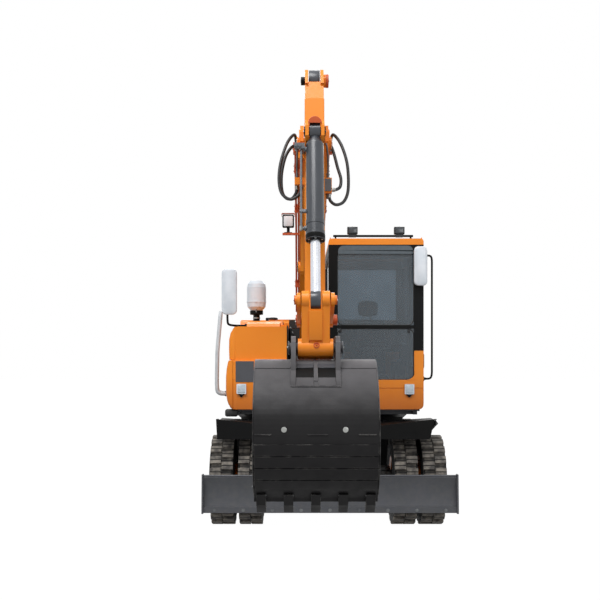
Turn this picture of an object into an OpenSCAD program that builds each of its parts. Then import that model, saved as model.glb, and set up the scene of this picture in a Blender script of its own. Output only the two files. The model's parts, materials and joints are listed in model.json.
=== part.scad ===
// Wheeled excavator: source of all its pieces, in millimetres.
// Front is -Y, the cab is on the +X side, Z is up and the tyres stand on Z = 0.

/* [Machine] */
// Distance between the two axles
wheelbase = 2400; // [2000:10:2800]
// How far the middle of the machine's length lies ahead of the swing axis
middle_ahead = 1376; // [1000:0.1:1800]
// Width over the blade
blade_width = 2220; // [1900:10:2600]
// Height of the cab's roof
roof_height = 2750; // [2500:10:3000]

/* [Wheels] */
// Outer diameter of a tyre over its lugs
tyre_diameter = 855; // [700:5:1000]
// Width of a tyre
tyre_width = 235; // [180:1:300]
// Distance of the inner tyre's middle from the machine's middle
inner_tyre = 725; // [680:1:800]
// Distance of the outer tyre's middle from the machine's middle
outer_tyre = 990; // [900:1:1100]
// Distance of a kingpin from the machine's middle
kingpin_out = 550; // [500:1:600]

// Number of lugs in one row of a tyre
lug_count = 22; // [18:1:28]
// Height of a tyre's lugs
lug_depth = 22; // [12:1:30]

/* [Upper body] */
// Half width of the upper body
body_half = 940; // [850:5:1050]
// Height of the upper body's underside
body_base = 1105; // [1000:5:1200]
// Radius of the tail about the swing axis
tail_radius = 1750; // [1500:10:2000]
// Front of the cab, ahead of the swing axis
cab_front = 1250; // [1100:5:1400]
// Back of the cab, behind the swing axis
cab_back = 330; // [200:5:450]
// Thickness of the cab's walls and posts
wall = 45; // [30:1:60]

/* [Boom and arm] */
// Middle plane of boom, arm and bucket
boom_x = -160; // [-300:5:0]
// Width of the boom
boom_width = 200; // [160:2:260]
// Width of the arm
arm_width = 130; // [100:2:180]
// Diameter of the bucket cylinder's barrel
bucket_barrel_d = 118; // [90:1:140]
// Diameter of the bucket cylinder's rod
bucket_rod_d = 64; // [40:1:80]

/* [Bucket and blade] */
// Width of the bucket
bucket_width = 780; // [500:5:900]
// Thickness of the bucket's plates
bucket_plate = 16; // [10:1:25]
// Distance from one tooth to the next
tooth_pitch = 172; // [140:1:200]
// Thickness of the blade's plate
blade_plate = 16; // [10:1:25]

/* [Fastening points] */
// Bore of the towing jaw at the tail
tow_bore = 42; // [30:1:50]
// Bore of the lashing eyes on the frame's sides
lash_bore = 36; // [24:1:44]
// Bore of the bolts of the blade's cutting edge
edge_bore = 18; // [12:1:22]

/* [Clearances] */
// Gap between a turning piece and the one beside it
side_gap = 5; // [4:0.5:10]
// Gap between a pin and its bore
pin_gap = 0.3; // [0.2:0.05:1]

/* [Hidden] */
// Undercarriage: half width, underside and top of the main frame
frame_half = 280;
frame_low = 560;
frame_top = 880;
steer_arm = 205;
// Heights of the upper body
swing_plane = frame_top + 80;
deck_low = body_base - 20;
floor_top = body_base + 60;
bay_top = body_base + 825;
tank_top = body_base + 835;
lid_top = body_base + 880;
step_top = body_base + 475;
front_top = body_base + 800;
// Front and back of the engine bay
bay_front = 400;
bay_back = 1325;
// Front of the housing beside the boom
housing_front = 1250;
housing_out = 946;
axle_z = tyre_diameter / 2;
front_axle_y = -wheelbase / 2;
rear_axle_y = wheelbase / 2;
tyre_r = tyre_diameter / 2;
rim_r = 203;
bxl = boom_x - boom_width / 2;
bxr = boom_x + boom_width / 2;
axl = boom_x - arm_width / 2;
axr = boom_x + arm_width / 2;

// Pins in the boom's plane: [y, z]
foot_pin = [-500, 1520];
tip_pin = [-3600, 3120];
tail_pin = [-3600, 3560];
bucket_pin = [-3950, 1660];
rocker_pin = [-3896, 1857];
link_pin = [-4200, 1668];
rod_pin = [-4250, 1970];
bucket_cyl_pin = [-3900, 3130];
boom_cyl_pin = [-800, 1270];
boom_eye_pin = [-2000, 2401];
arm_cyl_pin = [-1900, 3030];
blade_pin = [-1350, 500];
blade_cyl_pin = [-1440, 830];
blade_eye_pin = [-2010, 526];

orange = [0.93, 0.48, 0.12];
black = [0.12, 0.12, 0.13];
grey = [0.27, 0.28, 0.3];
steel = [0.75, 0.76, 0.78];
bowl = [0.8, 0.82, 0.8];
glass = [0.45, 0.6, 0.56, 0.45];
rubber = [0.1, 0.1, 0.1];

// Places children so that the machine's length is centred on Y = 0
module placed() {
    translate([0, middle_ahead, 0]) children();
}

// Plate with an outline [y, z] from x0 to x1
module side_plate(points, x0, x1) {
    translate([x0, 0, 0]) rotate([90, 0, 90]) linear_extrude(height = x1 - x0) polygon(points);
}

// Plate with an outline [x, z] from y0 to y1
module front_plate(points, y0, y1) {
    translate([0, y1, 0]) rotate([90, 0, 0]) linear_extrude(height = y1 - y0) polygon(points);
}

// Smooth line through the points p, with n steps from one to the next
function smooth_line(p, n) = concat([for (i = [0:len(p) - 2], k = [0:n - 1]) let (t = k / n,
    a = p[max(i - 1, 0)], b = p[i], c = p[i + 1], d = p[min(i + 2, len(p) - 1)])
    0.5 * (2 * b + (c - a) * t + (2 * a - 5 * b + 4 * c - d) * t * t + (3 * b - a - 3 * c + d) * t * t * t)],
    [p[len(p) - 1]]);
// The line p moved sideways by d
function beside(p, d) = [for (i = [0:len(p) - 1]) let (t = p[min(i + 1, len(p) - 1)] - p[max(i - 1, 0)])
    p[i] + [-t[1], t[0]] * d / norm(t)];
// Point of the line p at place t, counted in points
function place_on(p, t) = let (i = min(floor(t), len(p) - 2)) p[i] * (1 - t + i) + p[i + 1] * (t - i);
// Closed outline whose corners [x, z, radius] are rounded
function round_outline(c, n = 5) = [for (i = [0:len(c) - 1]) let (
    p = [c[i][0], c[i][1]], u = c[(i + len(c) - 1) % len(c)], v = c[(i + 1) % len(c)],
    a = [u[0], u[1]] - p, b = [v[0], v[1]] - p, r = c[i][2])
    each r == 0 ? [p] : [for (k = [0:n]) let (t = k / n, f = p + a / norm(a) * r, g = p + b / norm(b) * r)
        f * (1 - t) * (1 - t) + p * 2 * t * (1 - t) + g * t * t]];

// Round bar along X at [y, z]
module pin_x(at, r, x0, x1) {
    translate([x0, at[0], at[1]]) rotate([0, 90, 0]) cylinder(h = x1 - x0, r = r, $fn = 48);
}

// Box from its low corner to its high corner
module block(low, high) {
    translate(low) cube(high - low);
}

// Round bar in the plane x from p to q, both [y, z], from s0 to s1 along it
module bar_yz(x, p, q, r, s0, s1) {
    a = atan2(q[1] - p[1], q[0] - p[0]);
    translate([x, p[0], p[1]]) rotate([a - 90, 0, 0]) translate([0, 0, s0])
        cylinder(h = s1 - s0, r = r, $fn = 48);
}

// Straight tube between two points in space
module tube(p, q, r) {
    d = q - p;
    l = norm(d);
    translate(p) rotate([0, acos(d[2] / l), atan2(d[1], d[0])]) cylinder(h = l, r = r, $fn = 24);
}

// Round elbow where two tubes meet
module elbow(p, r) {
    translate(p) sphere(r = r, $fn = 24);
}

// Revolved about an axle at [y, z], outline in [radius, x]
module around_axle(points, y) {
    translate([0, y, axle_z]) rotate([0, 90, 0]) rotate_extrude($fn = 96) polygon(points);
}

function length_of(p, q) = norm(q - p);

// Height of the steering rod, under the drive shaft
rod_z = axle_z - 78;

module chassis_frame() {
    color(grey) placed() {
        difference() {
            union() {
                side_plate([[-1440, 620], [-1440, 745], [-1385, 790], [-1385, frame_top], [1440, frame_top], [1500, 800],
                    [1500, 660], [1420, 600], [800, frame_low], [-760, frame_low], [-1380, 590]],
                    -frame_half, frame_half);
                block([-470, -560, 780], [470, 560, frame_top]);
                // nose ears that carry the blade's arms and cylinders
                block([-315, -1440, 610], [315, -1300, 690]);
                for (s = [-1, 1]) {
                    side_plate([[-1440, 430], [-1290, 430], [-1230, 600], [-1440, 700]], s * 250 - 65, s * 250 - 40);
                    side_plate([[-1440, 430], [-1290, 430], [-1230, 600], [-1440, 700]], s * 250 + 40, s * 250 + 65);
                    for (e = [-42, 27])
                        side_plate([[-1384, 790], [-1440, 780], [-1470, 796], [-1480, 830], [-1466, 862], [-1440, 874], [-1384, 874]],
                            s * 120 + e, s * 120 + e + 15);
                }
            }
            for (s = [-1, 1]) pin_x(blade_cyl_pin, 18 + pin_gap, s * 120 - 50, s * 120 + 50);
            // pocket over each axle, in which the axle's saddle stands
            for (y = [front_axle_y, rear_axle_y])
                block([-frame_half - 1, y - 130, frame_low - 10], [frame_half + 1, y + 130, 640]);
        }
        // pins of the blade's arms
        for (s = [-1, 1]) pin_x(blade_pin, 25, s * 250 - 72, s * 250 + 72);
        // towing jaw at the tail
        difference() {
            union() {
                block([-70, 1498, 660], [70, 1560, 690]);
                block([-70, 1498, 750], [70, 1560, 780]);
                for (z = [660, 750]) translate([0, 1560, z]) cylinder(h = 30, r = 70, $fn = 48);
            }
            translate([0, 1565, 600]) cylinder(h = 240, r = tow_bore / 2, $fn = 48);
        }
        // lashing eyes at the sides
        for (s = [-1, 1], y = [-640, 640]) difference() {
            union() {
                translate([s * 280 - (s < 0 ? 60 : 0), y - 12, 700]) cube([60, 24, 60]);
                translate([s * 340, y + 12, 730]) rotate([90, 0, 0]) cylinder(h = 24, r = 38, $fn = 48);
            }
            translate([s * 340, y + 20, 730]) rotate([90, 0, 0]) cylinder(h = 40, r = lash_bore / 2, $fn = 48);
        }
    }
}
module slew_ring() {
    color(grey) placed() {
        difference() {
            union() {
                translate([0, 0, frame_top]) cylinder(h = swing_plane - frame_top - 0.3, r = 445, $fn = 96);
                translate([0, 0, frame_top]) cylinder(h = 22, r = 470, $fn = 96);
            }
            translate([0, 0, frame_top - 1]) cylinder(h = 90, r = 330, $fn = 96);
        }
    }
}

// Axle casing outline: [radius, x] from the middle outwards, mirrored
module axle_casing(y, end, nose) {
    half = [[150, 0], [145, 60], [110, 130], [78, 190], [66, end]];
    around_axle(concat([[0, -end]], [for (i = [4:-1:1]) [half[i][0], -half[i][1]]], half, [[0, end]]), y);
    // differential: cover, pinion nose, and the saddle under the frame
    translate([0, y, axle_z]) rotate([nose * 90, 0, 0]) cylinder(h = 178, r = 105, $fn = 48);
    translate([0, y, axle_z]) rotate([-nose * 90, 0, 0]) cylinder(h = 160, r = 50, $fn = 48);
    side_plate([[y - 90, axle_z + 60], [y + 90, axle_z + 60], [y + 110, 640], [y - 110, 640]], -150, 150);
}

module front_axle() {
    color(grey) placed() {
        axle_casing(front_axle_y, 470, 1);
        // yokes that hold the kingpins
        for (s = [-1, 1]) mirror([s < 0 ? 1 : 0, 0, 0]) {
            block([440, front_axle_y - 75, axle_z - 125], [472, front_axle_y + 75, axle_z + 125]);
            for (z = [axle_z - 125, axle_z + 95]) {
                block([471, front_axle_y - 62, z], [kingpin_out, front_axle_y + 62, z + 30]);
                translate([kingpin_out, front_axle_y, z]) cylinder(h = 30, r = 62, $fn = 48);
            }
            translate([kingpin_out, front_axle_y, axle_z - 135]) cylinder(h = 270, r = 22, $fn = 48);
        }
        // steering cylinder behind the axle
        difference() {
            union() {
                translate([-190, front_axle_y + steer_arm, rod_z]) rotate([0, 90, 0]) cylinder(h = 380, r = 38, $fn = 48);
                for (x = [-150, 120]) block([x, front_axle_y + 60, rod_z - 30], [x + 30, front_axle_y + 190, rod_z + 34]);
            }
            translate([-200, front_axle_y + steer_arm, rod_z]) rotate([0, 90, 0]) cylinder(h = 400, r = 18 + pin_gap, $fn = 48);
        }
    }
}

module rear_axle() {
    color(grey) placed() {
        axle_casing(rear_axle_y, 560, -1);
        for (s = [-1, 1]) mirror([s < 0 ? 1 : 0, 0, 0])
            around_axle([[0, 540], [120, 540], [150, 560], [150, 606], [90, 606], [90, 635.6], [0, 635.6]], rear_axle_y);
    }
}

module drive_line() {
    color(grey) placed() {
        // transfer box under the frame with its motor
        block([-150, -120, 400], [150, 170, frame_low]);
        translate([0, 170, 470]) rotate([-90, 0, 0]) cylinder(h = 230, r = 75, $fn = 48);
        translate([0, -120, 450]) rotate([90, 0, 0]) cylinder(h = 60, r = 60, $fn = 48);
        // shafts to the axles
        tube([0, -180.3, 450], [0, front_axle_y + 161, axle_z], 28);
        tube([0, 400.3, 462], [0, rear_axle_y - 162.5, axle_z], 28);
    }
}

module steering_rod() {
    color(steel) placed() {
        y = front_axle_y + steer_arm;
        translate([-kingpin_out, y, rod_z]) rotate([0, 90, 0]) cylinder(h = 2 * kingpin_out, r = 18, $fn = 48);
        for (s = [-1, 1]) translate([s * kingpin_out, y, rod_z - 22]) cylinder(h = 44, r = 27, $fn = 48);
    }
}

// Steering swivel: side is 1 for +X and -1 for -X
module knuckle(side) {
    mirror([side < 0 ? 1 : 0, 0, 0]) difference() {
        union() {
            translate([kingpin_out, front_axle_y, axle_z - 88]) cylinder(h = 176, r = 60, $fn = 48);
            around_axle([[0, kingpin_out + 10], [80, kingpin_out + 10], [95, 600], [95, 635.6], [0, 635.6]], front_axle_y);
            // arm to the steering rod
            block([kingpin_out - 30, front_axle_y + 20, rod_z + 22.3], [kingpin_out + 30, front_axle_y + steer_arm, rod_z + 52]);
            translate([kingpin_out, front_axle_y + steer_arm, rod_z + 22.3]) cylinder(h = 29.7, r = 30, $fn = 48);
        }
        translate([kingpin_out, front_axle_y, axle_z - 100]) cylinder(h = 200, r = 22 + pin_gap, $fn = 48);
    }
}

module knuckle_left() {
    color(grey) placed() knuckle(1);
}

module knuckle_right() {
    color(grey) placed() knuckle(-1);
}

// Carcass outline of a tyre about its own middle: [radius, x]
function tyre_outline(x, w) = let (r = tyre_r - lug_depth) [
    [rim_r + pin_gap, x - w * 0.36], [rim_r + 30, x - w * 0.43], [rim_r + 95, x - w * 0.5],
    [rim_r + 140, x - w * 0.49], [r - 16, x - w * 0.45], [r, x - w * 0.38],
    [r, x + w * 0.38], [r - 16, x + w * 0.45], [rim_r + 140, x + w * 0.49],
    [rim_r + 95, x + w * 0.5], [rim_r + 30, x + w * 0.43], [rim_r + pin_gap, x + w * 0.36]];

// One row of lugs from x0 to x1, its first lug at the angle a
module lug_row(x0, x1, a, y) {
    step = 360 / lug_count;
    low = tyre_r - lug_depth - 8;
    translate([x0, y, axle_z]) rotate([0, 90, 0]) difference() {
        linear_extrude(height = x1 - x0)
            polygon([for (i = [0:lug_count - 1], c = [[low, -0.36], [tyre_r, -0.29], [tyre_r, 0], [tyre_r, 0.29], [low, 0.36]])
                let (w = a + (i + c[1]) * step) c[0] * [cos(w), sin(w)]]);
        translate([0, 0, -1]) cylinder(h = x1 - x0 + 2, r = low - 20, $fn = 96);
    }
}

module tyre_pair(side, y) {
    w = tyre_width;
    color(rubber) placed() mirror([side < 0 ? 1 : 0, 0, 0])
        for (x = [inner_tyre, outer_tyre]) {
            around_axle(tyre_outline(x, w), y);
            lug_row(x - w * 0.455, x - 5, 0, y);
            lug_row(x + 5, x + w * 0.455, 180 / lug_count, y);
        }
}

// Rims of a twin wheel with their hub, outline [radius, x]
module rim_pair(side, y) {
    plane = (inner_tyre + outer_tyre) / 2;
    color(orange) placed() mirror([side < 0 ? 1 : 0, 0, 0]) {
        for (x = [inner_tyre, outer_tyre], e = [-1, 1])
            around_axle([[rim_r - 14, x], [rim_r, x], [rim_r, x + e * tyre_width * 0.3625],
                [rim_r + 26, x + e * tyre_width * 0.424], [rim_r + 26, x + e * 104], [rim_r - 14, x + e * 92]], y);
        // dished discs that meet between the tyres
        around_axle([[rim_r - 13, inner_tyre + 40], [rim_r - 13, inner_tyre + 62], [150, plane], [60, plane], [60, plane - 12],
            [144, plane - 12]], y);
        around_axle([[rim_r - 13, outer_tyre - 40], [rim_r - 13, outer_tyre - 62], [150, plane + pin_gap], [60, plane + pin_gap],
            [60, plane + 12], [144, plane + 12]], y);
        // hub
        around_axle([[0, 636], [110, 636], [125, 650], [125, 700], [112, plane - 12.5], [59, plane - 12.5], [59, plane + 12.5],
            [112, plane + 12.5], [112, plane + 60], [95, plane + 78], [60, plane + 90], [0, plane + 92]], y);
        for (i = [0:7]) translate([plane + 12, y, axle_z]) rotate([i * 45, 0, 0]) translate([0, 128, 0])
            rotate([0, 90, 0]) cylinder(h = 26, r = 13, $fn = 6);
    }
}

module tyres_front_left() {
    tyre_pair(1, front_axle_y);
}

module tyres_front_right() {
    tyre_pair(-1, front_axle_y);
}

module tyres_rear_left() {
    tyre_pair(1, rear_axle_y);
}

module tyres_rear_right() {
    tyre_pair(-1, rear_axle_y);
}

module rims_front_left() {
    rim_pair(1, front_axle_y);
}

module rims_front_right() {
    rim_pair(-1, front_axle_y);
}

module rims_rear_left() {
    rim_pair(1, rear_axle_y);
}

module rims_rear_right() {
    rim_pair(-1, rear_axle_y);
}

// Mudguard outline from the front to the back: [distance from the axle, z]
guard_line = [[-440, 852], [-405, 905], [-320, 945], [-180, 965], [180, 965], [320, 945], [420, 880]];

module mudguard(side, y, x0, x1, lift) {
    points = concat([for (p = guard_line) [y + p[0], p[1]]],
        [for (i = [6:-1:0]) [y + guard_line[i][0] * 0.985, guard_line[i][1] - 10]]);
    mirror([side < 0 ? 1 : 0, 0, 0]) {
        translate([x0, 0, 960]) rotate([0, -lift, 0]) translate([-x0, 0, -960]) {
            difference() {
                side_plate(points, x0, x1);
                // slanted outer corners
                for (e = [[-441, -300], [421, 300]]) translate([0, y, 800]) linear_extrude(height = 200)
                    polygon([[x1 - 100, e[0]], [x1 + 1, e[0]], [x1 + 1, e[1]]]);
            }
            block([x0 + 150, y - 60, 930], [x1 - 60, y - 30, 956]);
        }
        block([frame_half + 0.3, y - 90, 860], [x0 + 60, y - 60, 963]);
        block([frame_half + 0.3, y + 60, 860], [x0 + 60, y + 90, 963]);
    }
}

module mudguards() {
    color(black) placed() for (s = [-1, 1]) {
        mudguard(s, front_axle_y, 330, 1030, 3.6);
        mudguard(s, rear_axle_y, 330, 1030, 0);
    }
}

module side_steps() {
    color(black) placed() for (s = [-1, 1]) mirror([s < 0 ? 1 : 0, 0, 0]) {
        // tool box with two step recesses
        difference() {
            block([480, -500, 470], [960, 690, 850]);
            for (z = [510, 690]) block([860, -430, z], [961, -60, z + 130]);
        }
        for (y = [-350, 450]) block([frame_half + 0.3, y, 600], [481, y + 60, 700]);
    }
}

// Blade carrier: arms, cross tube, moldboard and end plates
module blade() {
    half = blade_width / 2;
    curve_r = 360;
    edge_y = -2150;
    low = 262;
    high = 570;
    cy = edge_y - sqrt(curve_r * curve_r - pow((high - low) / 2, 2));
    color(grey) placed() difference() {
        union() {
            intersection() {
                difference() {
                    pin_x([cy, (low + high) / 2], curve_r + blade_plate, -half + 12, half - 12);
                    pin_x([cy, (low + high) / 2], curve_r, -half, half);
                }
                block([-half, cy + 200, low + 20], [half, cy + 500, high]);
            }
            // cutting edge
            block([-half + 12, edge_y - 6, low - 2], [half - 12, edge_y + 16, low + 50]);
            // end plates
            for (x = [-half, half - 14])
                side_plate([[-2178, 255], [-2178, 320], [-2160, 592], [-2100, 592], [-2070, 420], [-2110, 255]], x, x + 14);
            // stiffeners behind the plate
            for (z = [330, 480]) block([-half + 12, -2112, z], [half - 12, -2050, z + 14]);
            block([-half + 12, -2125, 548], [half - 12, -2075, 562]);
            for (x = [-900, -600, 586, 886]) block([x, -2112, 330], [x + 14, -2056, 560]);
            // arms
            for (s = [-1, 1]) {
                side_plate([[-2110, 345], [-2110, 500], [-1860, 540], [-1400, 555], [-1350, 552], [-1296, 520],
                    [-1300, 470], [-1350, 448], [-1860, 400]], s * 250 - 34, s * 250 + 34);
                for (e = [-42, 27])
                    side_plate([[-2112, 480], [-1990, 480], [-1978, 526], [-1990, 556], [-2112, 556]], s * 120 + e, s * 120 + e + 15);
            }
            pin_x([-1700, 482], 45, -250, 250);
            // heads of the rods' pins
            for (s = [-1, 1], e = [-50, 42]) pin_x(blade_eye_pin, 24, s * 120 + e, s * 120 + e + 8);
        }
        for (s = [-1, 1]) pin_x(blade_pin, 25 + pin_gap, s * 250 - 40, s * 250 + 40);
        // bolt holes of the cutting edge
        for (i = [-4:4]) translate([i * 250, edge_y - 20, low + 22]) rotate([-90, 0, 0]) cylinder(h = 60, r = edge_bore / 2, $fn = 24);
    }
}

module blade_barrels() {
    l = length_of(blade_cyl_pin, blade_eye_pin);
    color(black) placed() for (s = [-1, 1]) difference() {
        union() {
            bar_yz(s * 120, blade_cyl_pin, blade_eye_pin, 22, 20, 70);
            bar_yz(s * 120, blade_cyl_pin, blade_eye_pin, 40, 66, l * 0.62);
            bar_yz(s * 120, blade_cyl_pin, blade_eye_pin, 45, l * 0.62 - 30, l * 0.62);
            pin_x(blade_cyl_pin, 34, s * 120 - 22, s * 120 + 22);
            pin_x(blade_cyl_pin, 18, s * 120 - 46, s * 120 + 46);
        }
        bar_yz(s * 120, blade_cyl_pin, blade_eye_pin, 22 + pin_gap, 80, l);
    }
}

module blade_rods() {
    l = length_of(blade_cyl_pin, blade_eye_pin);
    color(steel) placed() for (s = [-1, 1]) {
        bar_yz(s * 120, blade_cyl_pin, blade_eye_pin, 22, 240, l - 20);
        pin_x(blade_eye_pin, 33, s * 120 - 22, s * 120 + 22);
    }
}

// Upper body: space from the boom's plane to the brackets
ear_gap = boom_width / 2 + 25;

module turntable_frame() {
    color(grey) placed() {
        difference() {
            union() {
                translate([0, 0, swing_plane]) cylinder(h = 52, r = 420, $fn = 96);
                block([-430, -1000, swing_plane + 50], [430, bay_back - 5, deck_low]);
                // deck with its edge beams and cross beams
                block([-900, -1180, deck_low], [900, bay_back - 35, body_base - 0.3]);
                for (s = [-1, 1]) block([s * 860 - 20, -1150, deck_low - 35], [s * 860 + 20, bay_back - 75, deck_low + 1]);
                for (y = [-1100, -300, 500, 1200]) block([-880, y, deck_low - 35], [880, y + 40, deck_low + 1]);
            }
            translate([0, 0, swing_plane - 10]) cylinder(h = 70, r = 300, $fn = 96);
            // notch in which the boom's cylinder swings
            block([boom_x - ear_gap, -1181, swing_plane + 40], [boom_x + ear_gap, -880, body_base + 5]);
        }
    }
}

// Brackets that hold the boom and its cylinder, with their pins
module boom_brackets() {
    f = foot_pin;
    c = boom_cyl_pin;
    color(grey) placed() {
        for (s = [-1, 1]) {
            side_plate([[-1010, body_base], [-1000, c[1] - 10], [-880, c[1] + 60], [f[0] - 100, f[1] + 60],
                [f[0] - 40, f[1] + 102], [f[0] + 30, f[1] + 102], [f[0] + 90, f[1] + 50], [-157, body_base]],
                boom_x + s * (ear_gap + 15) - 15, boom_x + s * (ear_gap + 15) + 15);
            pin_x(f, 85, boom_x + s * (ear_gap + 15) - 17, boom_x + s * (ear_gap + 15) + 17);
            pin_x(f, 45, boom_x + s * (ear_gap + 33) - 15, boom_x + s * (ear_gap + 33) + 15);
            pin_x(c, 55, boom_x + s * (ear_gap - 10) - 12, boom_x + s * (ear_gap - 10) + 12);
        }
        block([boom_x - ear_gap - 1, -300, body_base], [boom_x + ear_gap + 1, -280, body_base + 195]);
        pin_x(f, 35, boom_x - ear_gap - 20, boom_x + ear_gap + 20);
        pin_x(c, 30, boom_x - ear_gap - 45, boom_x + ear_gap + 45);
    }
}

module counterweight() {
    color(orange) placed() intersection() {
        union() {
            translate([0, 0, body_base + 0.3]) cylinder(h = 560, r = tail_radius, $fn = 128);
            translate([0, 0, body_base + 560]) cylinder(h = 100, r1 = tail_radius, r2 = tail_radius - 60, $fn = 128);
        }
        block([-body_half, bay_back + 0.3, body_base], [body_half, tail_radius + 50, body_base + 655]);
    }
}

module engine_block() {
    color(grey) placed() block([-420, 560, body_base + 0.3], [420, 1180, body_base + 695]);
}

// The hood turns about this pin, under its front edge
hood_pin = [bay_front + 23, lid_top];
hinge_places = [-600, 480];

// Engine bay: walls left, right and front, open to the hood above and the counterweight behind
module engine_housing() {
    t = 30;
    h = hood_pin;
    color(orange) placed() {
        difference() {
            union() {
                block([-body_half, bay_front + t, body_base], [-body_half + t, bay_back, bay_top]);
                block([body_half - t, bay_front - 20, body_base], [body_half, bay_back, bay_top]);
                block([-body_half, bay_front, body_base], [body_half, bay_front + t, bay_top]);
                block([-body_half, bay_back - t, body_base + 657], [body_half, bay_back, bay_top]);
            }
            // air slots of both sides
            for (z = [body_base + 195:60:body_base + 555])
                block([-body_half - 1, bay_front + 160, z], [body_half + 1, bay_back - 225, z + 28]);
        }
        // lugs and pins of the hood's hinges
        for (x = hinge_places) {
            for (e = [-17, 122]) side_plate([[h[0] - 21, bay_top - 5], [h[0] + 7, bay_top - 5], [h[0] + 8, h[1] + 5],
                [h[0], h[1] + 12], [h[0] - 10, h[1] + 8]], x + e, x + e + 15);
            pin_x(h, 6, x - 10, x + 130);
        }
    }
}

module engine_hood() {
    y0 = bay_front + 36;
    y1 = bay_back + 20;
    y2 = tail_radius - 190;
    z0 = bay_top + 6;
    color(orange) placed() {
        difference() {
            side_plate([[y0, z0], [y0, z0 + 64], [y0 + 44, z0 + 99], [bay_back - 45, z0 + 84], [y2 - 80, z0 + 24],
                [y2, z0 - 56], [y2, body_base + 665], [y1, body_base + 665], [y1, z0]], -body_half + 4, body_half - 4);
            side_plate([[y0 + 24, z0 - 6], [y0 + 24, z0 + 54], [y0 + 54, z0 + 74], [bay_back - 50, z0 + 59],
                [y2 - 100, z0 + 4], [y2 - 25, z0 - 71], [y2 - 25, body_base + 655], [y1 - 45, body_base + 655],
                [y1 - 45, z0 - 6]], -body_half + 34, body_half - 34);
        }
        // hinge barrels at the front edge
        for (x = hinge_places) difference() {
            pin_x(hood_pin, 14, x, x + 120);
            pin_x(hood_pin, 6 + pin_gap, x - 1, x + 121);
        }
    }
}

// Front housing of the tank side, with its lower step and lamp recess
module front_housing() {
    o = -housing_out;
    f = -housing_front;
    color(orange) placed() difference() {
        union() {
            front_plate(round_outline([[o + 24, step_top, 0], [o + 24, front_top, 70], [-388, front_top, 0], [-388, step_top, 0]]),
                f + 35, -640);
            front_plate(round_outline([[o, body_base, 60], [o, step_top, 24], [-388, step_top, 0], [-388, body_base, 0]]),
                f, -640);
            // raised panel
            side_plate([[f + 70, front_top - 5], [f + 90, front_top + 30], [f + 150, front_top + 43], [-790, front_top + 43],
                [-760, front_top - 5]], -776, -455);
        }
        // recessed panel of the lamp side
        block([o + 41, f - 10, step_top - 185], [o + 216, f + 14, step_top - 15]);
        // seam above the step
        block([o - 14, f - 10, step_top - 6], [-380, f + 6, step_top + 1]);
        // door seam on the outer side
        for (y = [-1180, -720]) block([o - 9, y, body_base + 60], [o + 8, y + 10, step_top - 40]);
        // rounded outer front corners
        for (c = [[o, f, 70, body_base - 1, step_top - body_base + 1], [o + 24, f + 35, 50, step_top, 400]])
            translate([c[0], c[1], c[3]]) difference() {
                translate([-1, -1, 0]) cube([c[2] + 1, c[2] + 1, c[4]]);
                translate([c[2], c[2], -1]) cylinder(h = c[4] + 2, r = c[2], $fn = 64);
            }
    }
}

module tank_housing() {
    color(orange) placed() {
        difference() {
            union() {
                front_plate(round_outline([[-body_half, body_base, 0], [-body_half, tank_top, 45], [-388, tank_top, 0],
                    [-388, body_base, 0]]), -635, bay_front - 5);
                side_plate([[-560, tank_top - 5], [-545, lid_top - 12], [-520, lid_top], [300, lid_top], [325, lid_top - 12],
                    [340, tank_top - 5]], -880, -440);
            }
            for (y = [-600, -60, 380]) block([-body_half - 1, y, body_base + 45], [-body_half + 7, y + 6, tank_top - 60]);
        }
        // filler cap
        translate([-560, 100, lid_top - 1]) cylinder(h = 40, r = 45, $fn = 48);
    }
}

// Middle of the air cleaner: [x, y]
cleaner_at = [-725, -250];

module air_cleaner() {
    color(bowl) placed() translate([cleaner_at[0], cleaner_at[1], lid_top + 120.3]) rotate_extrude($fn = 64)
        polygon([[0, 0], [62, 0], [96, 40], [102, 90], [102, 230], [94, 285], [70, 318], [0, 326]]);
}

// Stem and flange of the air cleaner, and the exhaust pipe behind it
module exhaust() {
    color(black) placed() {
        translate([cleaner_at[0], cleaner_at[1], lid_top + 0.3]) {
            cylinder(h = 80, r = 35, $fn = 48);
            translate([0, 0, 76]) cylinder(h = 44, r = 70, $fn = 48);
        }
        difference() {
            union() {
                translate([-600, 250, lid_top + 0.3]) cylinder(h = 330, r = 45, $fn = 48);
                translate([-600, 250, lid_top + 0.3]) cylinder(h = 30, r = 62, $fn = 48);
            }
            translate([-600, 250, lid_top + 200]) cylinder(h = 140, r = 39, $fn = 48);
        }
    }
}

// Headlights: [x, z]
lamp_places = [[-823, 1288], [791, 1285]];
// Half outline of a headlight, pointed below
lamp_line = [[-44, 62, 10], [44, 62, 10], [44, -22, 8], [0, -68, 10], [-44, -22, 8]];

module lamps() {
    color(black) placed() {
        // headlights in front of housing and cab
        for (p = lamp_places, e = [[-12, 0, 1], [-20, -11, 0.84]])
            front_plate([for (c = round_outline(lamp_line)) p + c * e[2]], -housing_front + e[0], -housing_front + e[1]);
        // bar with two lamps on the roof
        for (x = [cab_left + 60, cab_right - 130])
            block([x, -cab_front + 10, roof_height + 0.3], [x + 15, -cab_front + 40, roof_height + 35]);
        block([cab_left + 45, -cab_front + 12, roof_height + 16], [cab_right - 100, -cab_front + 28, roof_height + 36]);
        for (x = roof_lamp_places) {
            side_plate([[-cab_front - 12, roof_height + 44], [-cab_front - 12, roof_height + 108], [-cab_front - 4, roof_height + 112],
                [-cab_front + 34, roof_height + 106], [-cab_front + 50, roof_height + 88], [-cab_front + 50, roof_height + 58],
                [-cab_front + 34, roof_height + 42]], x, x + 98);
            block([x + 40, -cab_front + 12, roof_height + 30], [x + 58, -cab_front + 28, roof_height + 50]);
        }
    }
}

// Cab: left and right face, glass sill, top of the posts, and the door's outline
cab_left = 15;
cab_right = 930;
sill = body_base + 285;
head = roof_height - 60;
// Top of the painted walls under the side and back windows
belt = body_base + 565;
// Middle of the bar across the windscreen
screen_bar = 1900;
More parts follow.
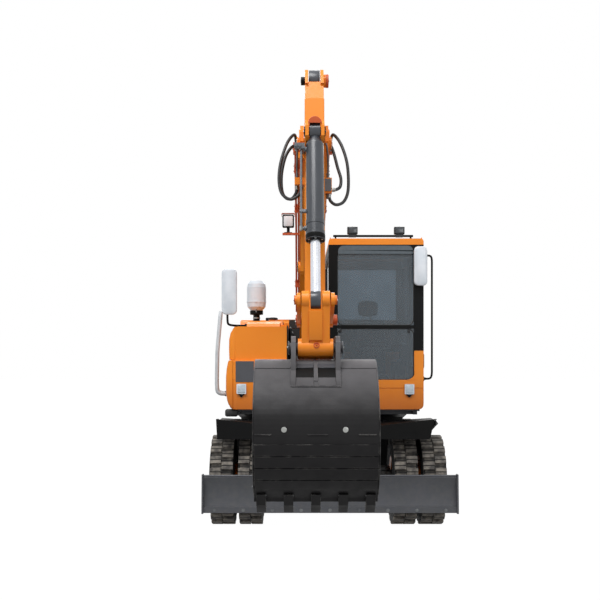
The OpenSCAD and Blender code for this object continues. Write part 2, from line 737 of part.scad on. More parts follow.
// Left and right edge of the windscreen
screen_left = cab_left + 83;
screen_right = cab_right - 92;
// Left edges of the roof's lamps
roof_lamp_places = [196, 647];
door_front = -1130;
door_back = -330;
door_low = body_base + 75;
door_high = head - 50;
door_hinges = [1300, 2450];

// Lugs and pin of a door hinge whose barrel starts at z
module door_lugs(z) {
    translate([cab_right + 14, door_back + 2, z - 12]) cylinder(h = 114, r = 5, $fn = 32);
    for (e = [-12.3, 90.3]) {
        translate([cab_right + 14, door_back + 2, z + e]) cylinder(h = 12, r = 9, $fn = 32);
        block([cab_right - 1, door_back + 6, z + e], [cab_right + 23, door_back + 45, z + e + 12]);
    }
}

// Cab's lower body: floor, front panel, lower walls
module cab_base() {
    color(orange) placed() difference() {
        union() {
            front_plate(round_outline([[cab_left, body_base, 0], [cab_left, floor_top, 0], [cab_right, floor_top, 0],
                [cab_right, body_base, 55]]), -cab_front, cab_back);
            block([cab_left, -cab_front, floor_top - 5], [cab_right, -cab_front + wall, sill]);
            block([cab_left, -cab_front + 60.3, floor_top - 5], [cab_left + wall, cab_back, belt]);
            block([cab_left, cab_back - wall, floor_top - 5], [cab_right, cab_back, belt]);
            block([cab_right - wall, door_back + 5, floor_top - 5], [cab_right, cab_back, belt]);
            block([cab_right - 90, -cab_front, floor_top - 5], [cab_right, door_front - 5, belt]);
        }
        // seam in the front panel
        block([cab_left - 1, -cab_front - 1, sill - 84], [cab_right + 1, -cab_front + 6, sill - 78]);
    }
    color(orange) placed() door_lugs(door_hinges[0]);
}

// Trim that rounds a corner of the windscreen, its corner at the origin
module corner_trim(r) {
    difference() {
        block([-1, 0, 0], [r, 11.5, r]);
        translate([r, -1, r]) rotate([-90, 0, 0]) cylinder(h = 14, r = r, $fn = 64);
    }
}

// Posts and frames of the glass, black
module cab_frame() {
    f = -cab_front;
    color(black) placed() {
        difference() {
            union() {
                // front
                block([cab_left, f, sill + 0.3], [screen_left, f + 60, head]);
                block([screen_right, f, belt + 0.3], [cab_right, door_front - 5, head]);
                block([screen_right, f, sill + 0.3], [screen_right + 1.7, f + 60, belt + 1]);
                block([cab_left, f, head - 50], [cab_right, f + 60, head]);
                block([screen_left - 8, f + 4, screen_bar - 15], [screen_right + 7, f + 40, screen_bar + 15]);
                for (c = [[screen_left, sill + 0.3, 0, 0], [screen_right, sill + 0.3, 1, 0],
                    [screen_left, head - 50, 0, 1], [screen_right, head - 50, 1, 1]])
                    translate([c[0], f, c[1]]) mirror([c[2], 0, 0]) mirror([0, 0, c[3]]) corner_trim(70);
                // inner side with its window
                block([cab_left, f + 59, belt + 0.3], [cab_left + wall, cab_back, head]);
                // back
                block([cab_left, cab_back - wall, belt + 0.3], [cab_right, cab_back, head]);
                // outer side behind the door and above it
                block([cab_right - wall, door_back + 5, belt + 0.3], [cab_right, cab_back, head]);
                block([cab_right - wall, f, door_high + 6], [cab_right, cab_back, head]);
            }
            block([cab_left - 1, f + 120, belt + 50], [cab_left + wall + 1, cab_back - 100, head - 90]);
            block([cab_left + 105, cab_back - wall - 1, belt + 70], [cab_right - 100, cab_back + 1, head - 90]);
            block([cab_right - wall - 1, door_back + 90, belt + 70], [cab_right + 1, cab_back - 90, head - 90]);
        }
        door_lugs(door_hinges[1]);
    }
}

module cab_roof() {
    t = roof_height;
    color(orange) placed() difference() {
        union() {
            front_plate(round_outline([[cab_left, head + 0.3, 0], [cab_left, t, 34], [cab_right, t, 34],
                [cab_right, head + 0.3, 0]]), -cab_front, cab_back);
            side_plate([[-1010, t - 1], [-990, t + 14], [180, t + 14], [200, t - 1]], cab_left + 60, cab_right - 60);
        }
        block([cab_left + wall, -cab_front + wall, head - 1], [cab_right - wall, cab_back - wall, t - 25]);
    }
}

module cab_glass() {
    f = -cab_front;
    color(glass) placed() {
        // windscreen above and below its bar
        block([screen_left + 0.3, f + 12, screen_bar + 15.3], [screen_right - 0.3, f + 18, head - 50.3]);
        block([screen_left + 0.3, f + 12, sill + 0.5], [screen_right - 0.3, f + 18, screen_bar - 15.3]);
        // inner side, back and outer side
        block([cab_left + 18, f + 120.3, belt + 50.3], [cab_left + 24, cab_back - 100.3, head - 90.3]);
        block([cab_left + 105.3, cab_back - 24, belt + 70.3], [cab_right - 100.3, cab_back - 18, head - 90.3]);
        block([cab_right - 24, door_back + 90.3, belt + 70.3], [cab_right - 18, cab_back - 90.3, head - 90.3]);
    }
}

// Door of the outer side, hinged at its back edge
module cab_door() {
    t = 40;
    color(black) placed() {
        difference() {
            block([cab_right - t, door_front, door_low], [cab_right, door_back, door_high]);
            block([cab_right - t - 1, door_front + 60, belt - 150], [cab_right + 1, door_back - 60, door_high - 70]);
        }
        // handle
        block([cab_right, door_front + 20, 1500], [cab_right + 22, door_front + 45, 1640]);
        // hinge barrels
        for (z = door_hinges) difference() {
            union() {
                translate([cab_right + 14, door_back + 2, z]) cylinder(h = 90, r = 12, $fn = 32);
                block([cab_right - 1, door_back - 40, z + 10], [cab_right + 16, door_back, z + 80]);
            }
            translate([cab_right + 14, door_back + 2, z - 1]) cylinder(h = 92, r = 5 + pin_gap, $fn = 32);
        }
    }
}

module door_glass() {
    color(glass) placed()
        block([cab_right - 24, door_front + 60.3, belt - 149.7], [cab_right - 18, door_back - 60.3, door_high - 70.3]);
}

module seat() {
    z = floor_top;
    color(black) placed() {
        block([330, -520, z + 0.3], [620, -180, z + 165]);
        front_plate(round_outline([[250, z + 165, 25], [250, z + 275, 35], [700, z + 275, 35], [700, z + 165, 25]]), -640, -150);
        side_plate([[-240, z + 255], [-130, z + 255], [-20, z + 885], [-100, z + 905]], 260, 690);
        side_plate([[-95, z + 885], [-15, z + 895], [0, z + 1065], [-80, z + 1075]], 360, 590);
    }
}

module consoles() {
    color(black) placed() {
        for (x = [130, 720]) {
            block([x, -640, floor_top + 0.3], [x + 100, -150, 1520]);
            block([x - 10, -700, 1515], [x + 110, -300, 1560]);
            tube([x + 50, -640, 1558], [x + 50, -690, 1740], 12);
            elbow([x + 50, -690, 1740], 26);
        }
        // steering column and wheel
        block([425, -1075, floor_top + 0.3], [525, -965, 1200]);
        tube([475, -1016, 1190], [475, -893, 1708], 38);
        translate([475, -893, 1712]) rotate([-14, 0, 0]) rotate_extrude($fn = 64) translate([165, 0]) circle(r = 13, $fn = 24);
        translate([475, -893, 1700]) rotate([-14, 0, 0]) {
            cylinder(h = 26, r = 42, $fn = 32);
            for (a = [0, 120, 240]) rotate([0, 0, a]) block([30, -10, 6], [166, 10, 18]);
        }
        // pedals
        for (x = [330, 560]) side_plate([[-1140, floor_top + 0.3], [-1020, floor_top + 0.3], [-1120, 1260], [-1150, 1240]], x, x + 80);
    }
}

// Path with each corner rounded over the distance d
function rounded(p, d) = concat([p[0]], [for (i = [1:len(p) - 2]) let (
    a = p[i] + (p[i - 1] - p[i]) * min(0.45, d / norm(p[i - 1] - p[i])),
    b = p[i] + (p[i + 1] - p[i]) * min(0.45, d / norm(p[i + 1] - p[i])))
    for (t = [0:0.25:1]) a * (1 - t) * (1 - t) + p[i] * 2 * t * (1 - t) + b * t * t], [p[len(p) - 1]]);
function along(p, i) = let (a = p[max(i - 1, 0)], b = p[i], c = p[min(i + 1, len(p) - 1)])
    (b == a ? [0, 0, 0] : (b - a) / norm(b - a)) + (c == b ? [0, 0, 0] : (c - b) / norm(c - b));
function sideways(v, t) = let (w = v - t * (v * t) / (t * t)) w / norm(w);
function ring_sides(p, i, v) = i == len(p) ? [] : let (w = sideways(v, along(p, i))) concat([w], ring_sides(p, i + 1, w));

// Round rail or hose through points, swept as one tube with n sides
module rail(p, r, n = 10) {
    start = abs(along(p, 0)[0]) > 0.8 * norm(along(p, 0)) ? [0, 0, 1] : [1, 0, 0];
    side = ring_sides(p, 0, start);
    points = [for (i = [0:len(p) - 1]) let (t = along(p, i) / norm(along(p, i)), u = side[i], w = cross(t, u))
        for (k = [0:n - 1]) p[i] + r * (cos(k * 360 / n) * u + sin(k * 360 / n) * w)];
    walls = [for (i = [0:len(p) - 2], k = [0:n - 1]) let (m = (k + 1) % n, a = i * n, b = a + n)
        each [[a + k, b + k, b + m], [a + k, b + m, a + m]]];
    ends = [[for (k = [0:n - 1]) k], [for (k = [n - 1:-1:0]) (len(p) - 1) * n + k]];
    polyhedron(points = points, faces = concat(walls, ends));
}

tank_rail = [[-1000, -1130, 1205], [-1060, -1160, 1235], [-1068, -1160, 1340], [-1063, -1150, 1680], [-1035, -1110, 2050],
    [-1035, -900, 2050], [-1045, -900, 1680], [-1000, -900, 1560]];
cab_rail = [[930.3, -1215, 2590], [1000, -1215, 2590], [1014, -1215, 2560], [1014, -1215, 1440], [1000, -1215, 1400],
    [930.3, -1215, 1400]];

module handrails() {
    color(steel) placed() {
        rail(rounded(tank_rail, 60), 19);
        block([-1020, -1150, 1185], [-housing_out - 0.3, -1110, 1225]);
        block([-1020, -915, 1535], [-housing_out - 0.3, -885, 1565]);
        rail(rounded(cab_rail, 30), 10);
    }
}

module mirrors() {
    color(steel) placed() {
        // tank side, on a bent arm
        block([-1020, -1190, 2020], [-872, -1160, 2470]);
        rail(rounded([[-786, -1060, 1917.5], [-900, -1090, 1917.5], [-960, -1130, 1925], [-965, -1150, 2030]], 40), 12);
        // cab side, on the front post
        block([828, -cab_front - 80, 2290], [956, -cab_front - 50, 2668]);
        rail([[900, -cab_front - 0.3, 2560], [900, -cab_front - 40, 2560], [892, -cab_front - 52, 2500]], 10);
    }
}

// Boom: lower and upper outline, and half the space at its tip
boom_low = [[-560, 1445], [-1000, 1840], [-1400, 2210], [-1700, 2440], [-2050, 2605], [-2500, 2730], [-3150, 2910], [-3400, 2985]];
boom_high = [[-3420, 3225], [-3000, 3140], [-2500, 3040], [-2150, 2965], [-1850, 2860], [-1560, 2680], [-1000, 2150], [-430, 1600]];
tip_gap = arm_width / 2 + 8;

module boom() {
    color(orange) placed() {
        difference() {
            union() {
                side_plate(concat(boom_low, boom_high), bxl, bxr);
                pin_x(foot_pin, 88, boom_x - 120, boom_x + 120);
                // ears of the arm's pivot
                for (s = [-1, 1]) {
                    side_plate([[-3380, 2985], [-3560, 3015], [-3640, 3040], [-3705, 3110], [-3700, 3180], [-3640, 3235], [-3400, 3235]],
                        boom_x + s * (tip_gap + 13) - 13, boom_x + s * (tip_gap + 13) + 13);
                    pin_x(tip_pin, 95, boom_x + s * (tip_gap + 17) - 17, boom_x + s * (tip_gap + 17) + 17);
                }
                // ears of the arm's cylinder
                for (s = [-1, 1])
                    side_plate([[-1640, 2700], [-1760, 2990], [-1850, 3090], [-1940, 3088], [-1985, 3020], [-2030, 2960], [-2160, 2940]],
                        boom_x + s * 62 - 13, boom_x + s * 62 + 13);
                // ears of the boom's cylinder
                for (s = [-1, 1])
                    side_plate([[-1640, 2380], [-1940, 2350], [-2000, 2336], [-2055, 2360], [-2070, 2410], [-2200, 2660]],
                        boom_x + s * 80 - 15, boom_x + s * 80 + 15);
            }
            pin_x(foot_pin, 35 + pin_gap, bxl - 40, bxr + 40);
            // space between the ears of the tip
            block([boom_x - tip_gap, -3900, 2800], [boom_x + tip_gap, -3270, 3400]);
        }
        pin_x(tip_pin, 38, boom_x - tip_gap - 40, boom_x + tip_gap + 40);
        pin_x(arm_cyl_pin, 32, boom_x - 85, boom_x + 85);
        for (s = [-1, 1]) pin_x(boom_eye_pin, 48, boom_x + s * 105 - 12, boom_x + s * 105 + 12);
    }
}

// Pipes along the boom and their clamps: [y, z]
pipe_line = [[-1000, 2060], [-1560, 2530], [-1850, 2730], [-2150, 2830], [-3350, 3130]];
clamp_places = [[-1300, 2312], [-2300, 2868], [-3050, 3055]];

module boom_pipes() {
    color(steel) placed() {
        for (x = [bxl - 34, bxl - 12, bxr + 12]) rail([for (p = pipe_line) [x, p[0], p[1]]], 9);
        for (p = clamp_places) {
            block([bxl - 46, p[0] - 25, p[1] - 35], [bxl - 0.3, p[0] + 25, p[1] + 35]);
            block([bxr + 0.3, p[0] - 25, p[1] - 35], [bxr + 24, p[0] + 25, p[1] + 35]);
        }
        block([bxl - 50, -3420, 3095], [bxl - 0.3, -3340, 3170]);
        block([bxr + 0.3, -3420, 3095], [bxr + 36, -3340, 3170]);
    }
}

module boom_lamp() {
    color(black) placed() {
        block([-415, -2030, 2745], [-312, -1970, 2860]);
        block([-400, -2010, 2690], [bxl - 0.3, -1970, 2712]);
        block([-372, -2010, 2700], [-352, -1990, 2750]);
    }
}

// A cylinder's barrel from pin p towards pin q: neck and closed are lengths from p
module barrel(x, p, q, r, neck, closed, eye_r, eye_half, bore) {
    difference() {
        union() {
            bar_yz(x, p, q, min(r * 0.6, eye_half), eye_r * 0.7, neck + 8);
            bar_yz(x, p, q, r, neck, closed);
            bar_yz(x, p, q, r + 5, closed - 60, closed);
            bar_yz(x, p, q, r + 3, closed - 140, closed - 110);
            pin_x(p, eye_r, x - eye_half, x + eye_half);
        }
        bar_yz(x, p, q, bore, neck + 25, closed + 1);
        children();
    }
}

// A cylinder's rod with its eye at pin q
module piston_rod(x, p, q, r, from, eye_r, eye_half) {
    bar_yz(x, p, q, r, from, length_of(p, q) - eye_r * 0.7);
    pin_x(q, eye_r, x - eye_half, x + eye_half);
}

// Barrel lengths, and where each rod starts inside its barrel
boom_closed = 1230;
arm_closed = 1150;
bucket_closed = 800;

module boom_barrel() {
    color(black) placed() barrel(boom_x, boom_cyl_pin, boom_eye_pin, 57, 95, boom_closed, 62, 44, 30 + pin_gap)
        pin_x(boom_cyl_pin, 30 + pin_gap, boom_x - 50, boom_x + 50);
}

module boom_rod() {
    color(steel) placed() piston_rod(boom_x, boom_cyl_pin, boom_eye_pin, 30, 460, 52, 40);
}

module arm_barrel() {
    color(black) placed() barrel(boom_x, arm_cyl_pin, tail_pin, 55, 110, arm_closed, 60, 38, 32.5 + pin_gap)
        pin_x(arm_cyl_pin, 32 + pin_gap, boom_x - 50, boom_x + 50);
}

module arm_rod() {
    color(steel) placed() piston_rod(boom_x, arm_cyl_pin, tail_pin, 32.5, 620, 72, 37);
}

// Arm: back and front outline
arm_back = [[-3535, 3530], [-3505, 3300], [-3480, 3060], [-3560, 2800], [-3800, 1900], [-3884, 1660]];
arm_front = [[-4014, 1640], [-4000, 1900], [-3960, 2300], [-3880, 2750], [-3800, 3060], [-3775, 3200], [-3745, 3400], [-3705, 3525]];

module arm() {
    color(orange) placed() {
        difference() {
            union() {
                side_plate(concat(arm_back, arm_front), axl, axr);
                pin_x(tip_pin, 86, axl - 3, axr + 3);
                pin_x(bucket_pin, 68, boom_x - 113, boom_x + 113);
                pin_x(rocker_pin, 52, boom_x - 90, boom_x + 90);
                // ears of the tail pin
                for (s = [-1, 1])
                    side_plate([[-3530, 3510], [-3530, 3570], [-3555, 3620], [-3600, 3638], [-3650, 3625], [-3700, 3570], [-3730, 3510]],
                        boom_x + s * 54 - 11, boom_x + s * 54 + 11);
                // ears of the bucket's cylinder
                for (s = [-1, 1])
                    side_plate([[-3700, 3250], [-3800, 3230], [-3900, 3205], [-3965, 3160], [-3965, 3090], [-3930, 3060],
                        [-3860, 3050], [-3790, 2990], [-3700, 2950]],
                        boom_x + s * 53 - 12, boom_x + s * 53 + 12);
            }
            // room for the eye of the arm's rod
            pin_x(tail_pin, 92, boom_x - 43, boom_x + 43);
            // room for the eye of the bucket's cylinder
            pin_x(bucket_cyl_pin, 75, boom_x - 41, boom_x + 41);
            pin_x(tip_pin, 38 + pin_gap, axl - 10, axr + 10);
            pin_x(bucket_pin, 30 + pin_gap, boom_x - 120, boom_x + 120);
            pin_x(rocker_pin, 28 + pin_gap, boom_x - 100, boom_x + 100);
        }
        pin_x(bucket_cyl_pin, 28, boom_x - 60, boom_x + 60);
        // heads of the tail pin
        pin_x(tail_pin, 30, boom_x + 64, boom_x + 90);
        pin_x(tail_pin, 45, boom_x + 66, boom_x + 82);
        pin_x(tail_pin, 28, boom_x - 92, boom_x - 64);
        // port block and valve on the sides
        block([axl - 52, -3760, 2980], [axl + 1, -3700, 3020]);
        block([axl - 72, -3752, 2800], [axl + 1, -3680, 2850]);
        block([axr - 1, -3760, 2740], [axr + 55, -3690, 2846]);
    }
}

module bucket_barrel() {
    color(black) placed() barrel(boom_x, bucket_cyl_pin, rod_pin, bucket_barrel_d / 2, 100, bucket_closed, 60, 36,
        bucket_rod_d / 2 + pin_gap)
        pin_x(bucket_cyl_pin, 28 + pin_gap, boom_x - 50, boom_x + 50);
}

module bucket_rod() {
    color(steel) placed() piston_rod(boom_x, bucket_cyl_pin, rod_pin, bucket_rod_d / 2, 390, 56, 31);
}

// Flat link with round ends between two pins [y, z], from x0 to x1
module flat_link(p, q, r1, r2, x0, x1) {
    a = atan2(q[1] - p[1], q[0] - p[0]);
    n = [-sin(a), cos(a)];
    pin_x(p, r1, x0, x1);
    pin_x(q, r2, x0, x1);
    side_plate([p + n * r1 * 0.8, q + n * r2 * 0.8, q - n * r2 * 0.8, p - n * r1 * 0.8], x0, x1);
}

module rocker_links() {
    color(orange) placed() {
        for (s = [-1, 1]) {
            low = s > 0 ? boom_x + 97 : boom_x - 121;
            flat_link(rocker_pin, rod_pin, 50, 46, low, low + 24);
        }
        pin_x(rocker_pin, 28, boom_x - 121, boom_x + 121);
        // pin head on the cab's side
        pin_x(rocker_pin, 34, boom_x + 120, boom_x + 150);
        for (s = [-1, 1]) pin_x(rod_pin, 30, boom_x + s * 125 - 8, boom_x + s * 125 + 8);
    }
}

module bucket_link() {
    color(orange) placed() difference() {
        union() {
            for (s = [-1, 1]) {
                low = s > 0 ? boom_x + 42 : boom_x - 90;
                flat_link(link_pin, rod_pin, 56, 58, low, low + 48);
            }
            pin_x(link_pin, 57, boom_x - 113, boom_x + 113);
        }
        pin_x(link_pin, 30 + pin_gap, boom_x - 120, boom_x + 120);
    }
}

// Bucket's outer outline, from the opening's upper edge over the back to the lip: [y, z] from the bucket's pin
bucket_curve = smooth_line([[-110, -75], [-215, -80], [-330, -145], [-440, -265], [-520, -405], [-552, -560], [-535, -700],
    [-470, -840], [-375, -945]], 5);
bucket_back = concat([[125, -91]], bucket_curve);
// The same line one plate further in
bucket_in = beside(bucket_back, bucket_plate);
// Front edge of the side plates from the lip back up to the opening
bucket_side = [[-340, -920], [-180, -600], [125, -110]];
// Wear bars across the back: place of each one's upper edge on the curve, counted in points
wear_bars = [26, 28.65, 31.3, 33.95];

module bucket() {
    half = bucket_width / 2;
    last = len(bucket_in) - 1;
    at = bucket_pin;
    color(grey) placed() difference() {
        union() {
            side_plate(concat([for (p = bucket_back) at + p], [for (i = [last:-1:0]) at + bucket_in[i]]), boom_x - half,
                boom_x + half);
            for (x = [boom_x - half, boom_x + half - bucket_plate])
                side_plate(concat([for (p = bucket_back) at + p], [for (p = bucket_side) at + p]), x, x + bucket_plate);
            // lip
            side_plate([at + [-385, -920], at + [-372, -965], at + [-345, -965], at + [-357, -912]], boom_x - half, boom_x + half);
            // wear bars
            for (t = wear_bars) {
                bar = [for (k = [0:4]) place_on(bucket_curve, t + k * 0.62)];
                side_plate(concat([for (p = beside(bar, -9)) at + p], [for (i = [4:-1:0]) at + beside(bar, 3)[i]]),
                    boom_x - half + 8, boom_x + half - 8);
            }
            // ears
            for (s = [-1, 1])
                side_plate([for (p = [[90, -94], [85, 10], [50, 60], [-20, 78], [-200, 82], [-262, 74], [-314, 42], [-330, -20],
                    [-350, -175], [-250, -104], [-100, -84]]) at + p], boom_x + s * 142 - 15, boom_x + s * 142 + 15);
            // cross tube between the ears, and the rib under it
            pin_x(at + [-245, -108], 36, boom_x - 128, boom_x + 128);
            side_plate([for (p = [[-180, -85], [-225, -76], [-268, -82], [-330, -125], [-395, -200], [-400, -225], [-330, -155],
                [-215, -90]]) at + p], boom_x - 12, boom_x + 12);
        }
        for (p = [bucket_pin, link_pin]) pin_x(p, 30 + pin_gap, boom_x - 160, boom_x + 160);
    }
    color(steel) placed() {
        pin_x(bucket_pin, 30, boom_x - 170, boom_x + 170);
        pin_x(link_pin, 30, boom_x - 170, boom_x + 170);
    }
}

module bucket_teeth() {
    at = bucket_pin;
    color(grey) placed() for (i = [-2:2]) {
        x = boom_x + i * tooth_pitch;
        side_plate([for (p = [[-411.2, -910], [-388.9, -931.8], [-379.4, -941.9], [-372.3, -965.3], [-344.7, -965.3], [-352, -934], [-340, -932],
            [-330, -960], [-326, -990], [-318, -1040], [-330, -1040], [-396, -985], [-424, -915]]) at + p], x - 30, x + 30);
    }
}

// Hoses between boom and arm: points [x, y, z] chosen by hand, straight at both ends
hose_r = 11;
left_inner = [[-287, -3420.4, 3115], [-287, -3450, 3115], [-312, -3550, 3110], [-360, -3605, 3030], [-389, -3630, 2900],
    [-387, -3650, 2780], [-360, -3668, 2722], [-315, -3685, 2715], [-285, -3696, 2757], [-281, -3698, 2785],
    [-281, -3698, 2799.7]];
left_outer = [[-287, -3420.4, 3150], [-287, -3450, 3150], [-300, -3560, 3190], [-350, -3650, 3110], [-395, -3700, 2960],
    [-406, -3720, 2830], [-385, -3732, 2740], [-328, -3738, 2700], [-270, -3736, 2728], [-250, -3735, 2780],
    [-250, -3735, 2799.7]];
right_inner = [[-42, -3420.4, 3115], [-42, -3450, 3115], [-36, -3545, 3108], [-18, -3600, 3040], [5, -3635, 2940],
    [26, -3665, 2860], [22, -3692, 2800], [0, -3714, 2775], [-25, -3722, 2768], [-39.6, -3722, 2768]];
right_outer = [[-42, -3420.4, 3150], [-42, -3450, 3150], [-25, -3555, 3192], [25, -3640, 3110], [65, -3685, 2980],
    [77, -3705, 2860], [72, -3715, 2750], [42, -3720, 2685], [-8, -3722, 2665], [-46, -3725, 2688], [-58, -3725, 2722],
    [-58, -3725, 2739.7]];

module hose(line) {
    last = len(line) - 1;
    rail(concat([line[0]], smooth_line([for (i = [1:last - 1]) line[i]], 2), [line[last]]), hose_r, 8);
}

module hose_left_inner() {
    color(rubber) placed() hose(left_inner);
}

module hose_left_outer() {
    color(rubber) placed() hose(left_outer);
}

module hose_right_inner() {
    color(rubber) placed() hose(right_inner);
}

module hose_right_outer() {
    color(rubber) placed() hose(right_outer);
}

chassis_frame();
slew_ring();
front_axle();
rear_axle();
drive_line();
mudguards();
side_steps();
steering_rod();
knuckle_left();
knuckle_right();
tyres_front_left();
tyres_front_right();
tyres_rear_left();
tyres_rear_right();
rims_front_left();
rims_front_right();
rims_rear_left();
rims_rear_right();
blade();
blade_barrels();
blade_rods();
turntable_frame();
boom_brackets();
counterweight();
engine_block();
engine_housing();
engine_hood();
front_housing();
tank_housing();
air_cleaner();
exhaust();
lamps();
cab_base();
cab_frame();
cab_roof();
cab_glass();
cab_door();
door_glass();
seat();
consoles();
handrails();
mirrors();
boom();
boom_pipes();
boom_lamp();
boom_barrel();
boom_rod();
arm_barrel();
arm_rod();
arm();
bucket_barrel();
bucket_rod();
rocker_links();
bucket_link();
bucket();
bucket_teeth();
hose_left_inner();
hose_left_outer();
hose_right_inner();
hose_right_outer();
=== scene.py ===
import json
import math

import bmesh
import bpy
from mathutils import Matrix, Vector


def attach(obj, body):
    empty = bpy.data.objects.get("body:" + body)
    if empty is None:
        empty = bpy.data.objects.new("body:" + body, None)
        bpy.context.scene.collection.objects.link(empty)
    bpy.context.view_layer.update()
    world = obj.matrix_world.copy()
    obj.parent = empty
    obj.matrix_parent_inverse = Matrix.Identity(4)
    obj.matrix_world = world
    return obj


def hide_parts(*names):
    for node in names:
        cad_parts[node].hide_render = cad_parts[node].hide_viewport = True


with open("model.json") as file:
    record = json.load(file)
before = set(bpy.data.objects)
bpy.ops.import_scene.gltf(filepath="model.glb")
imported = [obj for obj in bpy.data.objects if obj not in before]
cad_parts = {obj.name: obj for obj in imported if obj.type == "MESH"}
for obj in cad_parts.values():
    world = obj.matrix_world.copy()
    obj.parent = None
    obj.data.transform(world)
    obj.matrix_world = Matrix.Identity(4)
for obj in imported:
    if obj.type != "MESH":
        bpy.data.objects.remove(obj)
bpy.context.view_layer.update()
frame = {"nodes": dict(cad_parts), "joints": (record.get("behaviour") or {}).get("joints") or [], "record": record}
nodes = frame["nodes"]
joints = {joint["name"]: joint for joint in frame["joints"]}
middleAhead = joints["swing"]["pos_m"][1] * 1000  # the machine's own axes start at the swing axis

# Places that come back, in the machine's own millimetres
boomMiddle = -160  # across
halfBase = 1200  # from the swing axis to each axle
axleHeight = 427.5
tyreMiddles = (712, 1003)  # inner and outer tyre, across
tailRadius = 1750
lampSides = (-760, 760)  # tail lamps, across


def spot(x, y, z):
    # a place in the machine's own millimetres, as the frame's metres
    return Vector((x, y + middleAhead, z)) / 1000


def spots(points):
    return [spot(*point) for point in points]


# Colours and materials

def linear(hexColour):
    parts = [int(hexColour[i:i + 2], 16) / 255 for i in (1, 3, 5)]
    return (*[c / 12.92 if c <= 0.04045 else ((c + 0.055) / 1.055) ** 2.4 for c in parts], 1.0)


def addNode(tree, kind, settings=None, inputs=None):
    node = tree.nodes.new(kind)
    for key, value in (settings or {}).items():
        setattr(node, key, value)
    for key, value in (inputs or {}).items():
        socket = node.inputs[key]
        if isinstance(value, bpy.types.NodeSocket):
            tree.links.new(value, socket)
        else:
            socket.default_value = value
    return node


def newMaterial(name):
    material = bpy.data.materials.new(name)
    material.use_nodes = True
    tree = material.node_tree
    shader = tree.nodes["Principled BSDF"]
    place = tree.nodes.new("ShaderNodeTexCoord").outputs["Object"]
    return material, tree, shader, place


def setShader(tree, shader, **values):
    # numbers and sockets, by the shader's own names with spaces as underscores
    for key, value in values.items():
        socket = shader.inputs[key.replace("_", " ")]
        if isinstance(value, bpy.types.NodeSocket):
            tree.links.new(value, socket)
        else:
            socket.default_value = value


def reckon(tree, operation, first, second=0.0):
    return addNode(tree, "ShaderNodeMath", {"operation": operation}, {0: first, 1: second}).outputs[0]


def times(tree, first, second):
    return reckon(tree, "MULTIPLY", first, second)


def spread(tree, value, low, high, toLow=0.0, toHigh=1.0):
    # draws values between low and high out to 0 to 1, or to two others
    limits = {"From Min": low, "From Max": high, "To Min": toLow, "To Max": toHigh}
    return addNode(tree, "ShaderNodeMapRange", None, {"Value": value, **limits}).outputs[0]


def grain(tree, place, sizeMm, detail):
    cloud = {"Vector": place, "Scale": 1000 / sizeMm, "Detail": detail}
    return addNode(tree, "ShaderNodeTexNoise", None, cloud).outputs[0]


def patches(tree, place, sizeMm, detail=4.0, low=0.35, high=0.65):
    # soft blotches of that size, from 0 to 1
    return spread(tree, grain(tree, place, sizeMm, detail), low, high)


def heightOf(tree, place):
    return addNode(tree, "ShaderNodeSeparateXYZ", None, {0: place}).outputs[2]


def mixColours(tree, amount, first, second):
    mix = addNode(tree, "ShaderNodeMix", {"data_type": "RGBA"}, {"Factor": amount, 6: first, 7: second})
    return mix.outputs[2]


def twoTone(tree, amount, base, shade):
    return mixColours(tree, amount, linear(base), linear(shade))


def bevelled(tree, radiusMm):
    # the surface's direction, as if its edges were round
    return addNode(tree, "ShaderNodeBevel", {"samples": 4}, {"Radius": radiusMm / 1000}).outputs[0]


def edges(tree, radiusMm, low=0.86, high=0.99):
    # 1 along sharp edges, 0 on the flat
    plain = addNode(tree, "ShaderNodeNewGeometry").outputs["Normal"]
    dot = addNode(tree, "ShaderNodeVectorMath", {"operation": "DOT_PRODUCT"}, {0: bevelled(tree, radiusMm), 1: plain})
    return spread(tree, dot.outputs["Value"], high, low)


def relief(tree, height, strength, depthMm, under=None):
    # uneven surface, on top of another one
    inputs = {"Strength": strength, "Distance": depthMm / 1000, "Height": height}
    if under is not None:
        inputs["Normal"] = under
    return addNode(tree, "ShaderNodeBump", None, inputs).outputs[0]


def paint(name, spec):
    # sprayed paint over steel: soft blotches, fine orange peel, dust from below, painted shade that
    # darkens the lowest panels, light wear on edges
    material, tree, shader, place = newMaterial(name)
    height = heightOf(tree, place)
    grit = patches(tree, place, 45, 6.0, 0.42, 0.72)
    dusty = times(tree, times(tree, spread(tree, height, spec["dustTop"], 0.1), grit), spec["dustAmount"])
    # painted shade: the 'low' colour darkens what lies below 1.42 m, fully at 1.0 m
    lowPaintedShade = times(tree, spread(tree, height, 1.42, 1.0), spec["lowPaintedShade"])
    worn = times(tree, edges(tree, 4), patches(tree, place, 60, 5.0, 0.5, 0.62))
    colour = twoTone(tree, patches(tree, place, spec["patchMm"]), spec["base"], spec["shade"])
    for amount, tone in ((dusty, "dust"), (lowPaintedShade, "low"), (times(tree, worn, spec["wear"]), "bare")):
        colour = mixColours(tree, amount, colour, linear(spec[tone]))
    rough = spread(tree, patches(tree, place, 120), 0, 1, spec["roughness"] - 0.05, spec["roughness"] + 0.08)
    peel = relief(tree, grain(tree, place, spec["peelMm"], 2.0), spec["bump"], 1, bevelled(tree, spec["softMm"]))
    setShader(tree, shader, Base_Color=colour, Roughness=rough, Normal=peel, Metallic=0.0, IOR=1.5,
              Specular_IOR_Level=spec["gloss"], Coat_Weight=spec["coat"], Coat_Roughness=0.18)
    return material


# lowPaintedShade: how much of the painted shade in the 'low' colour the lowest panels take
usualPaint = {"patchMm": 300, "peelMm": 2.5, "dustTop": 1.4, "dustAmount": 0.15, "wear": 0.2, "bump": 0.05,
              "softMm": 2, "lowPaintedShade": 0.2, "gloss": 0.5, "coat": 0.2}
